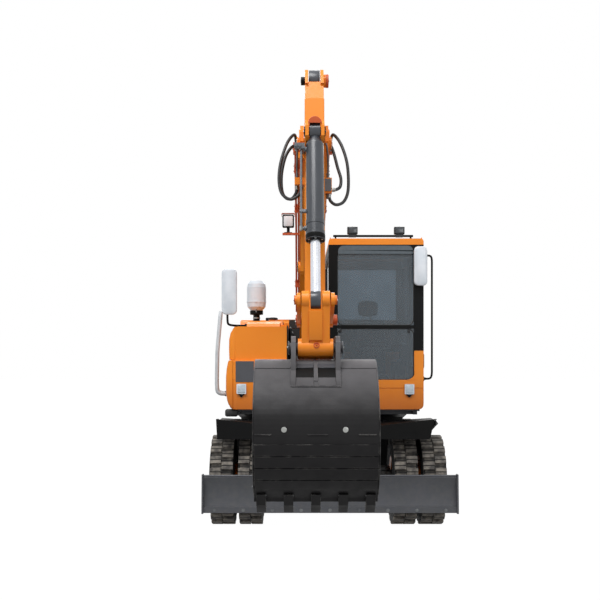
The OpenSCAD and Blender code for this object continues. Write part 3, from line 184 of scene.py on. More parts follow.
# warm orange panels with a soft shine, darker and redder near the ground by painted shade
orangePaint = paint("orange_enamel_paint", {
    **usualPaint, "base": "#EF8B1A", "shade": "#EA8414", "dust": "#C9A57A", "bare": "#9A5A20", "low": "#A34A08",
    "patchMm": 900, "dustTop": 1.9, "dustAmount": 0.12, "wear": 0.25, "roughness": 0.42, "softMm": 4, "lowPaintedShade": 0.8,
    "gloss": 0.4, "coat": 0.12})
# a darker red-brown copy of the orange paint: painted shade, for fittings, pin caps, pipes and plates that stand in
# shadow between the orange panels
orangeShade = paint("orange_painted_shade_paint", {
    **usualPaint, "base": "#C2531C", "shade": "#B04618", "dust": "#8C6A50", "bare": "#6E3A1E", "low": "#7A3010",
    "dustTop": 1.9, "dustAmount": 0.1, "roughness": 0.45, "bump": 0.06, "lowPaintedShade": 0.3, "gloss": 0.4})
# near black frame that shows its forms only at the edges
blackPaint = paint("black_chassis_paint", {
    **usualPaint, "base": "#080808", "shade": "#0B0C0D", "dust": "#2E2C29", "bare": "#4A4B4D", "low": "#050505",
    "patchMm": 400, "peelMm": 3, "dustTop": 1.0, "dustAmount": 0.08, "wear": 0.25, "roughness": 0.5,
    "bump": 0.08, "softMm": 3, "lowPaintedShade": 0.5, "gloss": 0.12, "coat": 0.02})
# matt mid grey of the blade, with dust lying on it
greyPaint = paint("dark_grey_paint", {
    **usualPaint, "base": "#4D4E53", "shade": "#45474B", "dust": "#6A665F", "bare": "#76787A", "low": "#3A3A3C",
    "patchMm": 350, "peelMm": 3, "dustAmount": 0.2, "wear": 0.35, "roughness": 0.44, "bump": 0.08, "softMm": 3,
    "lowPaintedShade": 0.0, "gloss": 0.35, "coat": 0.15})
# cool dark barrels with a clear highlight along them
cylinderPaint = paint("blue_grey_cylinder_paint", {
    **usualPaint, "base": "#34383F", "shade": "#2C3036", "dust": "#5D5A55", "bare": "#6C7076", "low": "#2A2C30",
    "dustTop": 1.2, "roughness": 0.33, "coat": 0.3})
# pale handrail that stands out before the housing
palePaint = paint("pale_grey_rail_paint", {
    **usualPaint, "base": "#CBCDCF", "shade": "#BABDC0", "dust": "#8C8578", "bare": "#8A8D90", "low": "#8E9092",
    "patchMm": 200, "dustTop": 1.6, "dustAmount": 0.2, "roughness": 0.42, "softMm": 1, "lowPaintedShade": 0.5})
# plain grey of small steel pipes and blocks
pipePaint = paint("grey_pipe_paint", {
    **usualPaint, "base": "#5C6065", "shade": "#4E5257", "dust": "#6A665F", "bare": "#8A8D90", "low": "#3A3C3F",
    "patchMm": 200, "roughness": 0.4, "softMm": 1})


def bucketPaint():
    # grey-brown, with painted shade that darkens it towards the teeth
    material, tree, shader, place = newMaterial("worn_bucket_paint")
    colour = twoTone(tree, patches(tree, place, 260, 5.0), "#626062", "#565455")
    # painted shade: near black from 1.6 m down, fully at 1.24 m
    colour = mixColours(tree, spread(tree, heightOf(tree, place), 1.6, 1.24), colour, linear("#121112"))
    worn = times(tree, edges(tree, 5), patches(tree, place, 70, 5.0, 0.45, 0.6))
    colour = mixColours(tree, times(tree, worn, 0.5), colour, linear("#8A8783"))
    setShader(tree, shader, Base_Color=colour, Roughness=spread(tree, patches(tree, place, 80), 0, 1, 0.48, 0.64),
              Normal=relief(tree, grain(tree, place, 14, 5.0), 0.18, 2), IOR=1.5, Specular_IOR_Level=0.2)
    return material


bucketSteel = bucketPaint()


def brushedSteel(name, spec):
    # bare metal with fine lines that blur what it mirrors
    material, tree, shader, place = newMaterial(name)
    stretched = addNode(tree, "ShaderNodeMapping", None, {"Vector": place, "Scale": spec["stretch"]}).outputs[0]
    lines = grain(tree, stretched, spec["lineMm"], 3.0)
    rough = spread(tree, lines, 0, 1, spec["roughness"] - 0.06, spec["roughness"] + 0.08)
    setShader(tree, shader, Base_Color=twoTone(tree, patches(tree, place, 150), spec["base"], spec["shade"]),
              Roughness=rough, Normal=relief(tree, lines, spec["bump"], 0.5), Metallic=1.0)
    return material


chrome = brushedSteel("hard_chrome", {  # bright rods
    "base": "#DDE0E6", "shade": "#D2D5DC", "stretch": (1, 1, 0.2), "lineMm": 3, "roughness": 0.26, "bump": 0.02})
zincSteel = brushedSteel("zinc_plated_steel", {  # dull glint of bolts and hose fittings
    "base": "#A9ABA8", "shade": "#8E8F8C", "stretch": (1, 1, 1), "lineMm": 4, "roughness": 0.36, "bump": 0.1})
wornSteel = brushedSteel("worn_bucket_steel", {  # dark rubbed steel of tooth locks and edge bolts
    "base": "#6D6F70", "shade": "#55575A", "stretch": (1, 1, 0.15), "lineMm": 6, "roughness": 0.42, "bump": 0.2})


def dustedMaterial(name, spec):
    # matt dark surface with dust in patches: cast iron, hose and seal rubber
    material, tree, shader, place = newMaterial(name)
    colour = twoTone(tree, patches(tree, place, spec["patchMm"], spec["patchDetail"]), spec["base"], spec["shade"])
    dusty = patches(tree, place, spec["dustMm"], 6.0, *spec["dustSpread"])
    colour = mixColours(tree, times(tree, dusty, spec["dustAmount"]), colour, linear(spec["dust"]))
    rough = relief(tree, grain(tree, place, spec["grainMm"], spec["grainDetail"]), spec["bump"], 1)
    setShader(tree, shader, Base_Color=colour, Normal=rough, Roughness=spec["roughness"], IOR=spec["ior"])
    return material


usualRubber = {"patchMm": 40, "patchDetail": 5.0, "dustMm": 60, "dustSpread": (0.4, 0.7), "grainDetail": 4.0,
               "ior": 1.52}
castIron = dustedMaterial("painted_cast_iron", {  # rough dark castings of axles and knuckles
    "base": "#242526", "shade": "#2F2F2F", "dust": "#5B5449", "patchMm": 120, "patchDetail": 4.0, "dustMm": 70,
    "dustSpread": (0.45, 0.75), "dustAmount": 0.35, "grainMm": 6, "grainDetail": 3.0, "bump": 0.25,
    "roughness": 0.6, "ior": 1.5})
hoseRubber = dustedMaterial("hose_rubber", {  # soft black shine of the hoses' covers
    **usualRubber, "base": "#202224", "shade": "#1A1B1D", "dust": "#4A4946", "dustAmount": 0.15,
    "grainMm": 1.5, "bump": 0.12, "roughness": 0.5})
sealRubber = dustedMaterial("window_seal_rubber", {  # dull black lines round the windows
    **usualRubber, "base": "#141516", "shade": "#18191A", "dust": "#33322F", "dustAmount": 0.1,
    "grainMm": 1, "bump": 0.1, "roughness": 0.55})


def tyreMaterial():
    # vulcanised rubber: dust on the lugs, each lug cut once across, black between them
    spec = {"lug": "#4C4946", "dust": "#8A8379", "groove": "#0D0D0D", "lugCount": 22}
    material, tree, shader, place = newMaterial("tyre_rubber")
    axes = addNode(tree, "ShaderNodeSeparateXYZ", None, {0: place}).outputs
    both = reckon(tree, "ABSOLUTE", reckon(tree, "SUBTRACT", axes[1], middleAhead / 1000))  # both axles alike
    dy = reckon(tree, "SUBTRACT", both, halfBase / 1000)
    dz = reckon(tree, "SUBTRACT", axleHeight / 1000, axes[2])
    spoke = addNode(tree, "ShaderNodeCombineXYZ", None, {1: dy, 2: dz}).outputs[0]
    radius = addNode(tree, "ShaderNodeVectorMath", {"operation": "LENGTH"}, {0: spoke}).outputs["Value"]
    turn = reckon(tree, "ARCTAN2", dy, dz)
    wave = reckon(tree, "SINE", times(tree, turn, spec["lugCount"]))
    cut = spread(tree, reckon(tree, "ABSOLUTE", wave), 0.16, 0.36)
    lugs = twoTone(tree, patches(tree, place, 60, 6.0, 0.38, 0.66), spec["lug"], spec["dust"])
    raised = times(tree, spread(tree, radius, 0.398, 0.414), cut)
    fine = relief(tree, grain(tree, place, 5, 4.0), 0.3, 1)
    setShader(tree, shader, Base_Color=mixColours(tree, raised, linear(spec["groove"]), lugs),
              Normal=relief(tree, cut, 0.6, 4, fine), Roughness=0.75, IOR=1.52, Specular_IOR_Level=0.3)
    return material


tyreRubber = tyreMaterial()


def smoothMaterial(name, base, shade, patchMm, texture=None, **values):
    # two close tones; the texture is its node, size in mm, output, strength and depth in mm
    material, tree, shader, place = newMaterial(name)
    if texture:
        kind, sizeMm, output, strength, depthMm = texture
        pattern = addNode(tree, kind, None, {"Vector": place, "Scale": 1000 / sizeMm}).outputs[output]
        values["Normal"] = relief(tree, pattern, strength, depthMm)
    setShader(tree, shader, Base_Color=twoTone(tree, patches(tree, place, patchMm), base, shade), **values)
    return material


ribs = ("ShaderNodeTexWave", 30, 1, 0.2, 1)
clearRibs = ("ShaderNodeTexWave", 40, 1, 0.3, 2)
moulded = ("ShaderNodeTexVoronoi", 1.2, 0, 0.08, 0.4)
lens = {"Roughness": 0.12, "IOR": 1.49, "Coat_Weight": 0.4}
redLens = smoothMaterial("red_lamp_plastic", "#A01410", "#8A0E0C", 30, ribs, **lens)  # deep red tail lamps
amberLens = smoothMaterial("amber_lamp_plastic", "#D8791A", "#C76A10", 30, ribs, **lens)  # orange turn lamps
smokedLens = smoothMaterial("smoked_lamp_glass", "#3A4045", "#2C3135", 30, ribs, **lens)  # dark roof lamps
bandGlass = smoothMaterial("tinted_band_glass", "#4B565D", "#444F56", 30, ribs, **lens)  # band above the screen
darkPlastic = smoothMaterial("moulded_dark_plastic", "#1B1C1E", "#222326", 90, moulded,
                             Roughness=0.5, IOR=1.49)  # black handles and grilles with a fine grain
panelPlastic = smoothMaterial("moulded_grey_plastic", "#3C3F44", "#35383C", 90, moulded,
                              Roughness=0.42, IOR=1.49)  # grey console forms behind the glass
palePlastic = smoothMaterial("pale_moulded_plastic", "#DDE2E7", "#D1D8DE", 90, moulded,
                             Roughness=0.35, IOR=1.49)  # the cleaner's bowl and the mirrors, nearly white
whitePlastic = smoothMaterial("frosted_white_plastic", "#E6E8EA", "#D9DCDF", 90, moulded,
                              Roughness=0.3, IOR=1.49)  # the boom lamp's bright face
cabGlass = smoothMaterial("tinted_safety_glass", "#8E9CA6", "#87959F", 160,
                          Roughness=0.03, IOR=1.5, Transmission_Weight=0.82)  # cool grey panes, the seat shows
lampGlass = smoothMaterial("ribbed_lamp_glass", "#DCE6EC", "#C4D2DB", 30, clearRibs,
                           Roughness=0.08, IOR=1.5, Transmission_Weight=0.3)  # clear ribbed headlights
mirrorGlass = smoothMaterial("silvered_mirror_glass", "#D5DDE3", "#C8D2DA", 120,
                             Roughness=0.06, Metallic=1.0)  # mirrors the surroundings


def fabricMaterial():
    # dark woven cloth, matt with a faint sheen
    material, tree, shader, place = newMaterial("woven_seat_fabric")
    weave = addNode(tree, "ShaderNodeTexWave", {"bands_direction": "DIAGONAL"},
                    {"Vector": place, "Scale": 1000 / 6, "Distortion": 1.0}).outputs[1]
    setShader(tree, shader, Base_Color=twoTone(tree, weave, "#26282C", "#3A3D43"),
              Normal=relief(tree, weave, 0.4, 1), Roughness=0.85, Sheen_Weight=0.3)
    return material


seatFabric = fabricMaterial()

slotMaterials = {"orange_paint": orangePaint, "black_paint": blackPaint, "grey_paint": greyPaint,
                 "bright_metal": palePaint, "cab_glass": cabGlass, "tyre_rubber": tyreRubber,
                 "hose_rubber": hoseRubber, "seat_cover": seatFabric, "chrome": chrome, "plastic": darkPlastic,
                 "plastic_pale": palePlastic, "cast_iron": castIron}
# the boom's pipes take the darker copy of the orange paint: painted shade
nodeMaterials = {"boom_barrel": cylinderPaint, "arm_barrel": cylinderPaint, "bucket_barrel": cylinderPaint,
                 "blade_barrels": cylinderPaint, "boom_pipes": orangeShade, "steering_rod": zincSteel,
                 "bucket": bucketSteel, "bucket_teeth": bucketSteel, "rocker_links": orangePaint}
for part in frame["record"]["subparts"]:
    chosen = nodeMaterials.get(part["node"], slotMaterials[part["material_slot"]])
    shown = nodes[part["node"]]
    for index in range(len(shown.material_slots)):
        shown.material_slots[index].material = chosen
    if not shown.material_slots:
        shown.data.materials.append(chosen)
print("materials on", len(nodes), "nodes")


# Mesh helpers, all in the machine's own millimetres

def finishPiece(name, mesh, material, body, bevelMm=0.0, smooth=True):
    # the piece rides on its body and takes the material given to it
    data = bpy.data.meshes.new(name)
    mesh.to_mesh(data)
    mesh.free()
    piece = bpy.data.objects.new(name, data)
    bpy.context.scene.collection.objects.link(piece)
    data.materials.append(material)
    for face in data.polygons:
        face.use_smooth = smooth
    if bevelMm:
        bevel = piece.modifiers.new("rounded edges", "BEVEL")
        bevel.width = bevelMm / 1000
        bevel.segments = 2
        bevel.limit_method = "ANGLE"
        bevel.harden_normals = True
    if smooth and not bevelMm:
        data.set_sharp_from_angle(angle=math.radians(40))
    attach(piece, body)
    return piece


def addBlock(mesh, corners):
    # six-sided block from its eight corners, four below and the four above them
    verts = [mesh.verts.new(spot(*corner)) for corner in corners]
    for face in ((3, 2, 1, 0), (4, 5, 6, 7), (0, 1, 5, 4), (1, 2, 6, 5), (2, 3, 7, 6), (3, 0, 4, 7)):
        mesh.faces.new([verts[i] for i in face])


def addBox(mesh, low, high, taper=0.0):
    # taper draws the top in, in millimetres
    corners = []
    for z in (low[2], high[2]):
        inset = taper if z == high[2] else 0
        corners += [(low[0] + inset, low[1] + inset, z), (high[0] - inset, low[1] + inset, z),
                    (high[0] - inset, high[1] - inset, z), (low[0] + inset, high[1] - inset, z)]
    addBlock(mesh, corners)


def frameAlong(direction):
    axis = direction.normalized()
    side = axis.cross(Vector((0, 0, 1)) if abs(axis.z) < 0.9 else Vector((1, 0, 0))).normalized()
    return side, axis.cross(side)


def addBothSides(mesh, near, far, low, high, taper=0.0):
    # the same box on either side, near and far from the middle: low and high are [y, z]
    for side in (-1, 1):
        a, b = sorted((side * near, side * far))
        addBox(mesh, (a, *low), (b, *high), taper)


def around(count, radius, first=0.0):
    # places on a circle, the first one in degrees
    turns = (2 * math.pi * k / count + math.radians(first) for k in range(count))
    return [(radius * math.cos(t), radius * math.sin(t)) for t in turns]


def addRings(mesh, rings):
    # walls between rings of points, with caps at both ends
    loops = [[mesh.verts.new(point) for point in ring] for ring in rings]
    for a, b in zip(loops, loops[1:]):
        for i in range(len(a)):
            j = (i + 1) % len(a)
            mesh.faces.new((a[i], a[j], b[j], b[i]))
    mesh.faces.new(list(reversed(loops[0])))
    mesh.faces.new(loops[-1])


def addTurned(mesh, start, end, outline, sides=24):
    # turned about the line from start to end: outline [distance along, radius]
    a, b = spot(*start), spot(*end)
    axis = (b - a).normalized()
    side, up = frameAlong(axis)
    addRings(mesh, [[a + axis * along / 1000 + side * c + up * s for c, s in around(sides, radius / 1000)]
                    for along, radius in outline])


def addBolt(mesh, at, direction, size, height=None):
    # hexagon head with its washer
    height = height or size * 0.35
    a = Vector(at)
    d = Vector(direction).normalized()
    addTurned(mesh, a, a + d, [(0, size * 0.62), (size * 0.09, size * 0.62)], 16)
    addTurned(mesh, a, a + d, [(size * 0.08, size * 0.52), (height * 0.9, size * 0.52), (height, size * 0.45)], 6)


def smoothRoute(points, steps=6):
    # a curve through the points, in metres
    p = [Vector(q) for q in points]
    route = []
    for i in range(len(p) - 1):
        a, b, c, d = p[max(i - 1, 0)], p[i], p[i + 1], p[min(i + 2, len(p) - 1)]
        for k in range(steps):
            t = k / steps
            bend = (2 * a - 5 * b + 4 * c - d) * t * t + (3 * b - a - 3 * c + d) * t ** 3
            route.append(0.5 * (2 * b + (c - a) * t + bend))
    route.append(p[-1])
    return route


def roundedRoute(points, reachMm, steps=5):
    # straight runs with round corners, in metres
    p = [Vector(q) for q in points]
    route = [p[0]]
    for i in range(1, len(p) - 1):
        a = p[i] + (p[i - 1] - p[i]).normalized() * min(reachMm / 1000, (p[i - 1] - p[i]).length * 0.45)
        b = p[i] + (p[i + 1] - p[i]).normalized() * min(reachMm / 1000, (p[i + 1] - p[i]).length * 0.45)
        for t in (k / steps for k in range(steps + 1)):
            route.append(a * (1 - t) ** 2 + p[i] * 2 * t * (1 - t) + b * t * t)
    return route + [p[-1]]


def addTube(mesh, route, radiusMm, sides=12):
    # round tube along a route in metres
    side, up = frameAlong(route[1] - route[0])
    rings = []
    for i, point in enumerate(route):
        ahead = (route[min(i + 1, len(route) - 1)] - route[max(i - 1, 0)]).normalized()
        side = (side - ahead * side.dot(ahead)).normalized()
        up = ahead.cross(side)
        rings.append([point + side * c + up * s for c, s in around(sides, radiusMm / 1000)])
    addRings(mesh, rings)


def addCurve(mesh, points, radiusMm, sides, steps=5):
    addTube(mesh, smoothRoute(spots(points), steps), radiusMm, sides)


def addBentTube(mesh, points, reachMm, radiusMm, sides):
    addTube(mesh, roundedRoute(spots(points), reachMm), radiusMm, sides)


def addLoop(mesh, points, radiusMm, sides=8):
    # closed tube, its ends run past each other by one point
    addTube(mesh, spots(points + points[:2]), radiusMm, sides)


def addBead(mesh, x, line, radiusMm):
    # weld bead or fold along a line [y, z]
    addTube(mesh, [spot(x, y, z) for y, z in line], radiusMm, 6)


def addUpright(mesh, x, y, z, outline, sides):
    # turned about the vertical: outline [height above z, radius]
    addTurned(mesh, (x, y, z), (x, y, z + 1), outline, sides)


def addPlate(mesh, outline, x0, x1):
    # plate with an outline [y, z] from x0 to x1
    addRings(mesh, [[spot(x, *point) for point in outline] for x in (x0, x1)])


def addFace(mesh, outline, y0, y1):
    # plate with an outline [x, z] from y0 to y1
    addRings(mesh, [[spot(x, y, z) for x, z in outline] for y in (y0, y1)])


def applyModifiers(piece):
    graph = bpy.context.evaluated_depsgraph_get()
    data = bpy.data.meshes.new_from_object(piece.evaluated_get(graph), preserve_all_data_layers=True, depsgraph=graph)
    piece.modifiers.clear()
    piece.data = data


def roundedOutline(x0, x1, z0, z1, radius, steps=5):
    # rectangle with round corners
    points = []
    left, right, low, high = x0 + radius, x1 - radius, z0 + radius, z1 - radius
    for cx, cz, start in ((right, high, 0), (left, high, 90), (left, low, 180), (right, low, 270)):
        for k in range(steps + 1):
            t = math.radians(start + 90 * k / steps)
            points.append((cx + radius * math.cos(t), cz + radius * math.sin(t)))
    return points


def addShell(mesh, box, corner, sections):
    # rounded body seen from the front: box [x0, x1, z0, z1], sections [y, how far drawn in]
    x0, x1, z0, z1 = box
    rings = []
    for y, inset in sections:
        outline = roundedOutline(x0 + inset, x1 - inset, z0 + inset, z1 - inset, max(corner - inset * 0.6, 3))
        rings.append([spot(x, y, z) for x, z in outline])
    addRings(mesh, rings)


def makePiece(name, material, body, build, bevelMm=0.0, smooth=True):
    mesh = bmesh.new()
    build(mesh)
    bmesh.ops.recalc_face_normals(mesh, faces=mesh.faces)
    return finishPiece(name, mesh, material, body, bevelMm, smooth)


# Stage and camera

def seenRays(tree):
    # 1 for what the camera sees, also in metal and through glass
    rays = addNode(tree, "ShaderNodeLightPath").outputs
    direct = reckon(tree, "MAXIMUM", rays["Is Camera Ray"], rays["Is Glossy Ray"])
    return reckon(tree, "MAXIMUM", direct, rays["Is Transmission Ray"])


def makeStage():
    mesh = bmesh.new()
    bmesh.ops.create_grid(mesh, x_segments=2, y_segments=2, size=60)
    data = bpy.data.meshes.new("floor")
    mesh.to_mesh(data)
    mesh.free()
    floor = bpy.data.objects.new("floor", data)
    bpy.context.scene.collection.objects.link(floor)
    material, tree, shader, place = newMaterial("pale_studio_floor")
    tone = twoTone(tree, patches(tree, place, 4000), "#8F8F8E", "#8A8A89")
    setShader(tree, shader, Base_Color=tone, Roughness=0.9)
    # the floor is seen as white, and lights the machine only a little
    glow = addNode(tree, "ShaderNodeEmission", None, {"Color": (1, 1, 1, 1), "Strength": 1.07})
    seen = times(tree, seenRays(tree), 0.93)
    both = addNode(tree, "ShaderNodeMixShader", None, {0: seen, 1: shader.outputs[0], 2: glow.outputs[0]})
    tree.links.new(both.outputs[0], tree.nodes["Material Output"].inputs[0])
    data.materials.append(material)


def makeWorld():
    world = bpy.data.worlds.new("studio")
    bpy.context.scene.world = world
    world.use_nodes = True
    tree = world.node_tree
    tree.nodes.clear()
    # light from above, white wherever it is seen itself
    up = heightOf(tree, addNode(tree, "ShaderNodeTexCoord").outputs["Generated"])
    level = spread(tree, up, -0.1, 0.8, 0.22, 0.95)
    soft = addNode(tree, "ShaderNodeBackground", None, {"Color": linear("#EEF1F6"), "Strength": level})
    white = addNode(tree, "ShaderNodeBackground", None, {"Color": (1, 1, 1, 1), "Strength": 1.0})
    both = addNode(tree, "ShaderNodeMixShader", None, {0: seenRays(tree), 1: soft.outputs[0], 2: white.outputs[0]})
    tree.links.new(both.outputs[0], addNode(tree, "ShaderNodeOutputWorld").inputs[0])
    bpy.context.scene.view_settings.view_transform = "Standard"


def makeLight(name, place, target, size, power):
    # places and sizes in metres, power in watts
    data = bpy.data.lights.new(name, "AREA")
    data.shape = "RECTANGLE"
    data.size, data.size_y = size
    data.energy = power
    lamp = bpy.data.objects.new(name, data)
    lamp.location = place
    lamp.rotation_mode = "QUATERNION"
    lamp.rotation_quaternion = (Vector(target) - Vector(place)).to_track_quat("-Z", "Y")
    bpy.context.scene.collection.objects.link(lamp)


def makeCamera():
    imageSize = 600  # pixels a side
    focal = 925  # pixels
    horizonRow = 358
    data = bpy.data.cameras.new("camera")
    data.sensor_width = 36
    data.lens = data.sensor_width * focal / imageSize
    data.shift_y = (horizonRow - imageSize / 2) / imageSize
    camera = bpy.data.objects.new("camera", data)
    camera.location = spot(-260, -10150, 1600)
    camera.rotation_euler = (math.radians(90), 0, 0)
    bpy.context.scene.collection.objects.link(camera)
    bpy.context.scene.camera = camera


makeStage()
makeWorld()
makeLight("key", (-2.5, -6.5, 10.5), (0, -1, 1.6), (6, 5), 880)
makeLight("fill", (5.5, -9.5, 4.8), (0, -0.5, 1.6), (5, 4), 130)
makeLight("back", (0.5, 8.5, 7.5), (0, 0, 1.5), (7, 4), 420)
makeCamera()
print("stage, lights and camera")


# Hoses between boom and arm, the same points as in the part's source

def makeHoses():
    spec = {"radius": 11, "collarRadius": 14, "collarLength": 26, "nutRadius": 15.5, "nutLength": 11}
    collar, collarEnd, nut, nutEnd = (spec[key] for key in ("collarRadius", "collarLength", "nutRadius", "nutLength"))
    outline = [(0.2, nut * 0.8), (1, nut), (nutEnd, nut), (nutEnd + 0.5, collar - 1.5)]
    sleeve = [(nutEnd, collar - 1), (nutEnd + 2, collar), (collarEnd - 2, collar), (collarEnd, collar - 2)]
    lines = {
        "hose_left_inner": [(-287, -3420.4, 3115), (-287, -3450, 3115), (-312, -3550, 3110), (-360, -3605, 3030),
                            (-389, -3630, 2900), (-387, -3650, 2780), (-360, -3668, 2722), (-315, -3685, 2715),
                            (-285, -3696, 2757), (-281, -3698, 2785), (-281, -3698, 2799.7)],
        "hose_left_outer": [(-287, -3420.4, 3150), (-287, -3450, 3150), (-300, -3560, 3190), (-350, -3650, 3110),
                            (-395, -3700, 2960), (-406, -3720, 2830), (-385, -3732, 2740), (-328, -3738, 2700),
                            (-270, -3736, 2728), (-250, -3735, 2780), (-250, -3735, 2799.7)],
        "hose_right_inner": [(-42, -3420.4, 3115), (-42, -3450, 3115), (-36, -3545, 3108), (-18, -3600, 3040),
                             (5, -3635, 2940), (26, -3665, 2860), (22, -3692, 2800), (0, -3714, 2775),
                             (-25, -3722, 2768), (-39.6, -3722, 2768)],
        "hose_right_outer": [(-42, -3420.4, 3150), (-42, -3450, 3150), (-25, -3555, 3192), (25, -3640, 3110),
                             (65, -3685, 2980), (77, -3705, 2860), (72, -3715, 2750), (42, -3720, 2685),
                             (-8, -3722, 2665), (-46, -3725, 2688), (-58, -3725, 2722), (-58, -3725, 2739.7)]}
    for name, line in lines.items():
        ends = spots([line[0], line[-1]])
        route = [ends[0]] + smoothRoute(spots(line[1:-1]), 6) + [ends[1]]
        for tag, a, b in (("start", line[0], line[1]), ("end", line[-1], line[-2])):
            def fitting(mesh):
                addTurned(mesh, a, b, outline, 6)
                addTurned(mesh, a, b, sleeve, 16)
            makePiece(f"{name}_fitting_{tag}", zincSteel, "boom", fitting)
        piece = makePiece(f"{name}_tube", hoseRubber, "boom",
                          lambda mesh: addTube(mesh, route, spec["radius"], 14))
        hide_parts(name)
    print("hoses")


# Cylinders: pins p and q [y, z], barrel radius r, length closed, rod radius, side of the pipe

cylinders = {
    "boom_barrel": {"p": (-800, 1270), "q": (-2000, 2401), "r": 57, "neck": 95, "closed": 1230, "rod": 30,
                    "tubeSide": 1},
    "arm_barrel": {"p": (-1900, 3030), "q": (-3600, 3560), "r": 55, "neck": 110, "closed": 1150, "rod": 32.5,
                   "tubeSide": 1},
    "bucket_barrel": {"p": (-3900, 3130), "q": (-4250, 1970), "r": 59, "neck": 100, "closed": 800, "rod": 32,
                      "tubeSide": -1}}


def onCylinder(c, along, across=0.0, out=0.0):
    # across is along X, out is away from the line of pins in the boom's plane
    d = (Vector(c["q"]) - Vector(c["p"])).normalized()
    return Vector((boomMiddle + across, c["p"][0] + d.x * along - d.y * out, c["p"][1] + d.y * along + d.x * out))


def addBoxAlong(mesh, c, along, across, out):
    # box along a cylinder, between pairs of low and high
    (x0, x1), (o0, o1) = across, out
    addBlock(mesh, [onCylinder(c, s, x, o) for s in along for x, o in ((x0, o0), (x1, o0), (x1, o1), (x0, o1))])


def makeCylinders():
    spec = {"gland": 6, "tube": 8, "boss": 17, "tubeOut": 33}
    for body, c in cylinders.items():
        r, closed, neck = c["r"], c["closed"], c["neck"]
        a, b = onCylinder(c, 0), onCylinder(c, 1)

        def gland(mesh):
            g = r + spec["gland"]
            rod = c["rod"]
            outline = [(-64, r), (-60, g - 1), (-44, g - 1), (-42, g - 4), (-38, g - 4), (-36, g), (-4, g),
                       (0.8, g - 4), (0.8, rod + 9), (5, rod + 8), (5, rod + 0.6), (-2, rod + 0.6)]
            addTurned(mesh, a, b, [(closed + along, radius) for along, radius in outline], 40)
        makePiece(f"{body}_gland", blackPaint, body, gland)

        def cone(mesh):
            outline = [(46, 34), (52, 37), (neck + 2, r + 0.4), (neck + 8, r + 0.4), (neck + 9, r - 1)]
            addTurned(mesh, a, b, outline, 40)
        makePiece(f"{body}_neck", cylinderPaint, body, cone)

        side = c["tubeSide"]
        out = side * (r + spec["tubeOut"])

        def pipes(mesh):
            for along in (neck + 34, closed - 86):
                addTurned(mesh, onCylinder(c, along, side * (r - 4)), onCylinder(c, along, side * r * 2),
                          [(0, spec["boss"]), (14, spec["boss"]), (17, spec["boss"] - 3), (17, 11), (24, 11)], 18)
            route = [onCylinder(c, closed - 86, side * (r + 10))]
            route += [onCylinder(c, along, out) for along in (closed - 86, neck + 80, neck + 20)]
            addBentTube(mesh, route, 26, spec["tube"], 12)
            addBoxAlong(mesh, c, (closed - 219, closed - 201), (side * (r - 3), out + side * 11), (-13, 13))
        pipeColour = pipePaint if body == "bucket_barrel" else cylinderPaint
        makePiece(f"{body}_pipes", pipeColour, body, pipes)

        def fittings(mesh):
            for along, low, high in ((closed - 86, -16, 16), (neck + 22, -15, 15)):
                addTurned(mesh, onCylinder(c, along + low, out), onCylinder(c, along + high, out),
                          [(0, 12), (1.5, 13.5), (30, 13.5), (31, 12)], 6)
            # bolts of the gland, and the grease nipple of the eye
            for across, up in around(6, r - 9, 30):
                addBolt(mesh, onCylinder(c, closed + 1, across, up), b - a, 12)
            addTurned(mesh, onCylinder(c, 0, 0, 55), onCylinder(c, 0, 0, 100),
                      [(0, 7), (9, 7), (9, 4), (17, 4), (19, 5.5), (22, 3)], 10)
        makePiece(f"{body}_fittings", zincSteel, body, fittings)
    print("cylinders")


# Pins: caps with their bolts

def makePins():
    # body, pin [y, z], outer faces across, radius, thickness, bolts, paint
    pins = (("boom", (-3600, 3120), (-273, -47), 46, 9, 3, "orange"),
            ("boom", (-1900, 3030), (-245, -75), 40, 7, 2, "dark"),
            ("boom", (-2000, 2401), (-277, -43), 44, 6, 2, "dark"),
            ("upper_body", (-500, 1520), (-333,), 42, 7, 3, "dark"),
            ("upper_body", (-800, 1270), (-330,), 42, 7, 2, "dark"),
            ("arm", (-3600, 3560), (-77,), 46.5, 19, 1, "primer"),
            ("arm", (-3600, 3560), (-226,), 29, 28, 0, "dark"),
            ("arm", (-3900, 3130), (-225, -95), 34, 8, 1, "dark"),
            ("rocker", (-3896, 1857), (-39,), 36, 31, 0, "primer"),
            ("rocker", (-3896, 1857), (-281,), 36, 8, 2, "primer"),
            ("rocker", (-4250, 1970), (-27, -293), 31, 5, 1, "primer"),
            ("bucket", (-3950, 1660), (-330, 10), 40, 8, 1, "grey"),
            ("bucket", (-4200, 1668), (-330, 10), 40, 8, 1, "grey"))
    # primer is the darker copy of the orange paint: painted shade
    paints = {"orange": (orangePaint, "orange_paint"), "primer": (orangeShade, "orange_paint"),
              "dark": (blackPaint, "black_paint"), "grey": (greyPaint, "grey_paint")}
    rows = [(body, pin, x, *rest) for body, pin, faces, *rest in pins for x in faces]
    for number, (body, (y, z), x, radius, thick, bolts, paintName) in enumerate(rows):
        material, slotName = paints[paintName]
        way = 1 if x > boomMiddle else -1

        def cap(mesh):
            outline = [(0, radius), (thick - 1.5, radius), (thick, radius - 2), (thick, radius * 0.45),
                       (thick + 1.5, radius * 0.42)]
            addTurned(mesh, (x - way * 0.4, y, z), (x + way, y, z), outline, 32)
        makePiece(f"pin_cap_{number:02d}", material, body, cap)

        def heads(mesh):
            for dy, dz in around(bolts, radius * 0.68 if bolts > 1 else 0, math.degrees(0.5)):
                addBolt(mesh, (x + way * (thick - 0.5), y + dy, z + dz), (way, 0, 0), 13)
        if bolts:
            makePiece(f"pin_bolts_{number:02d}", zincSteel, body, heads)
    print("pins")


# Arm and link: bridge over the cylinder's eye, port blocks, grease nipples

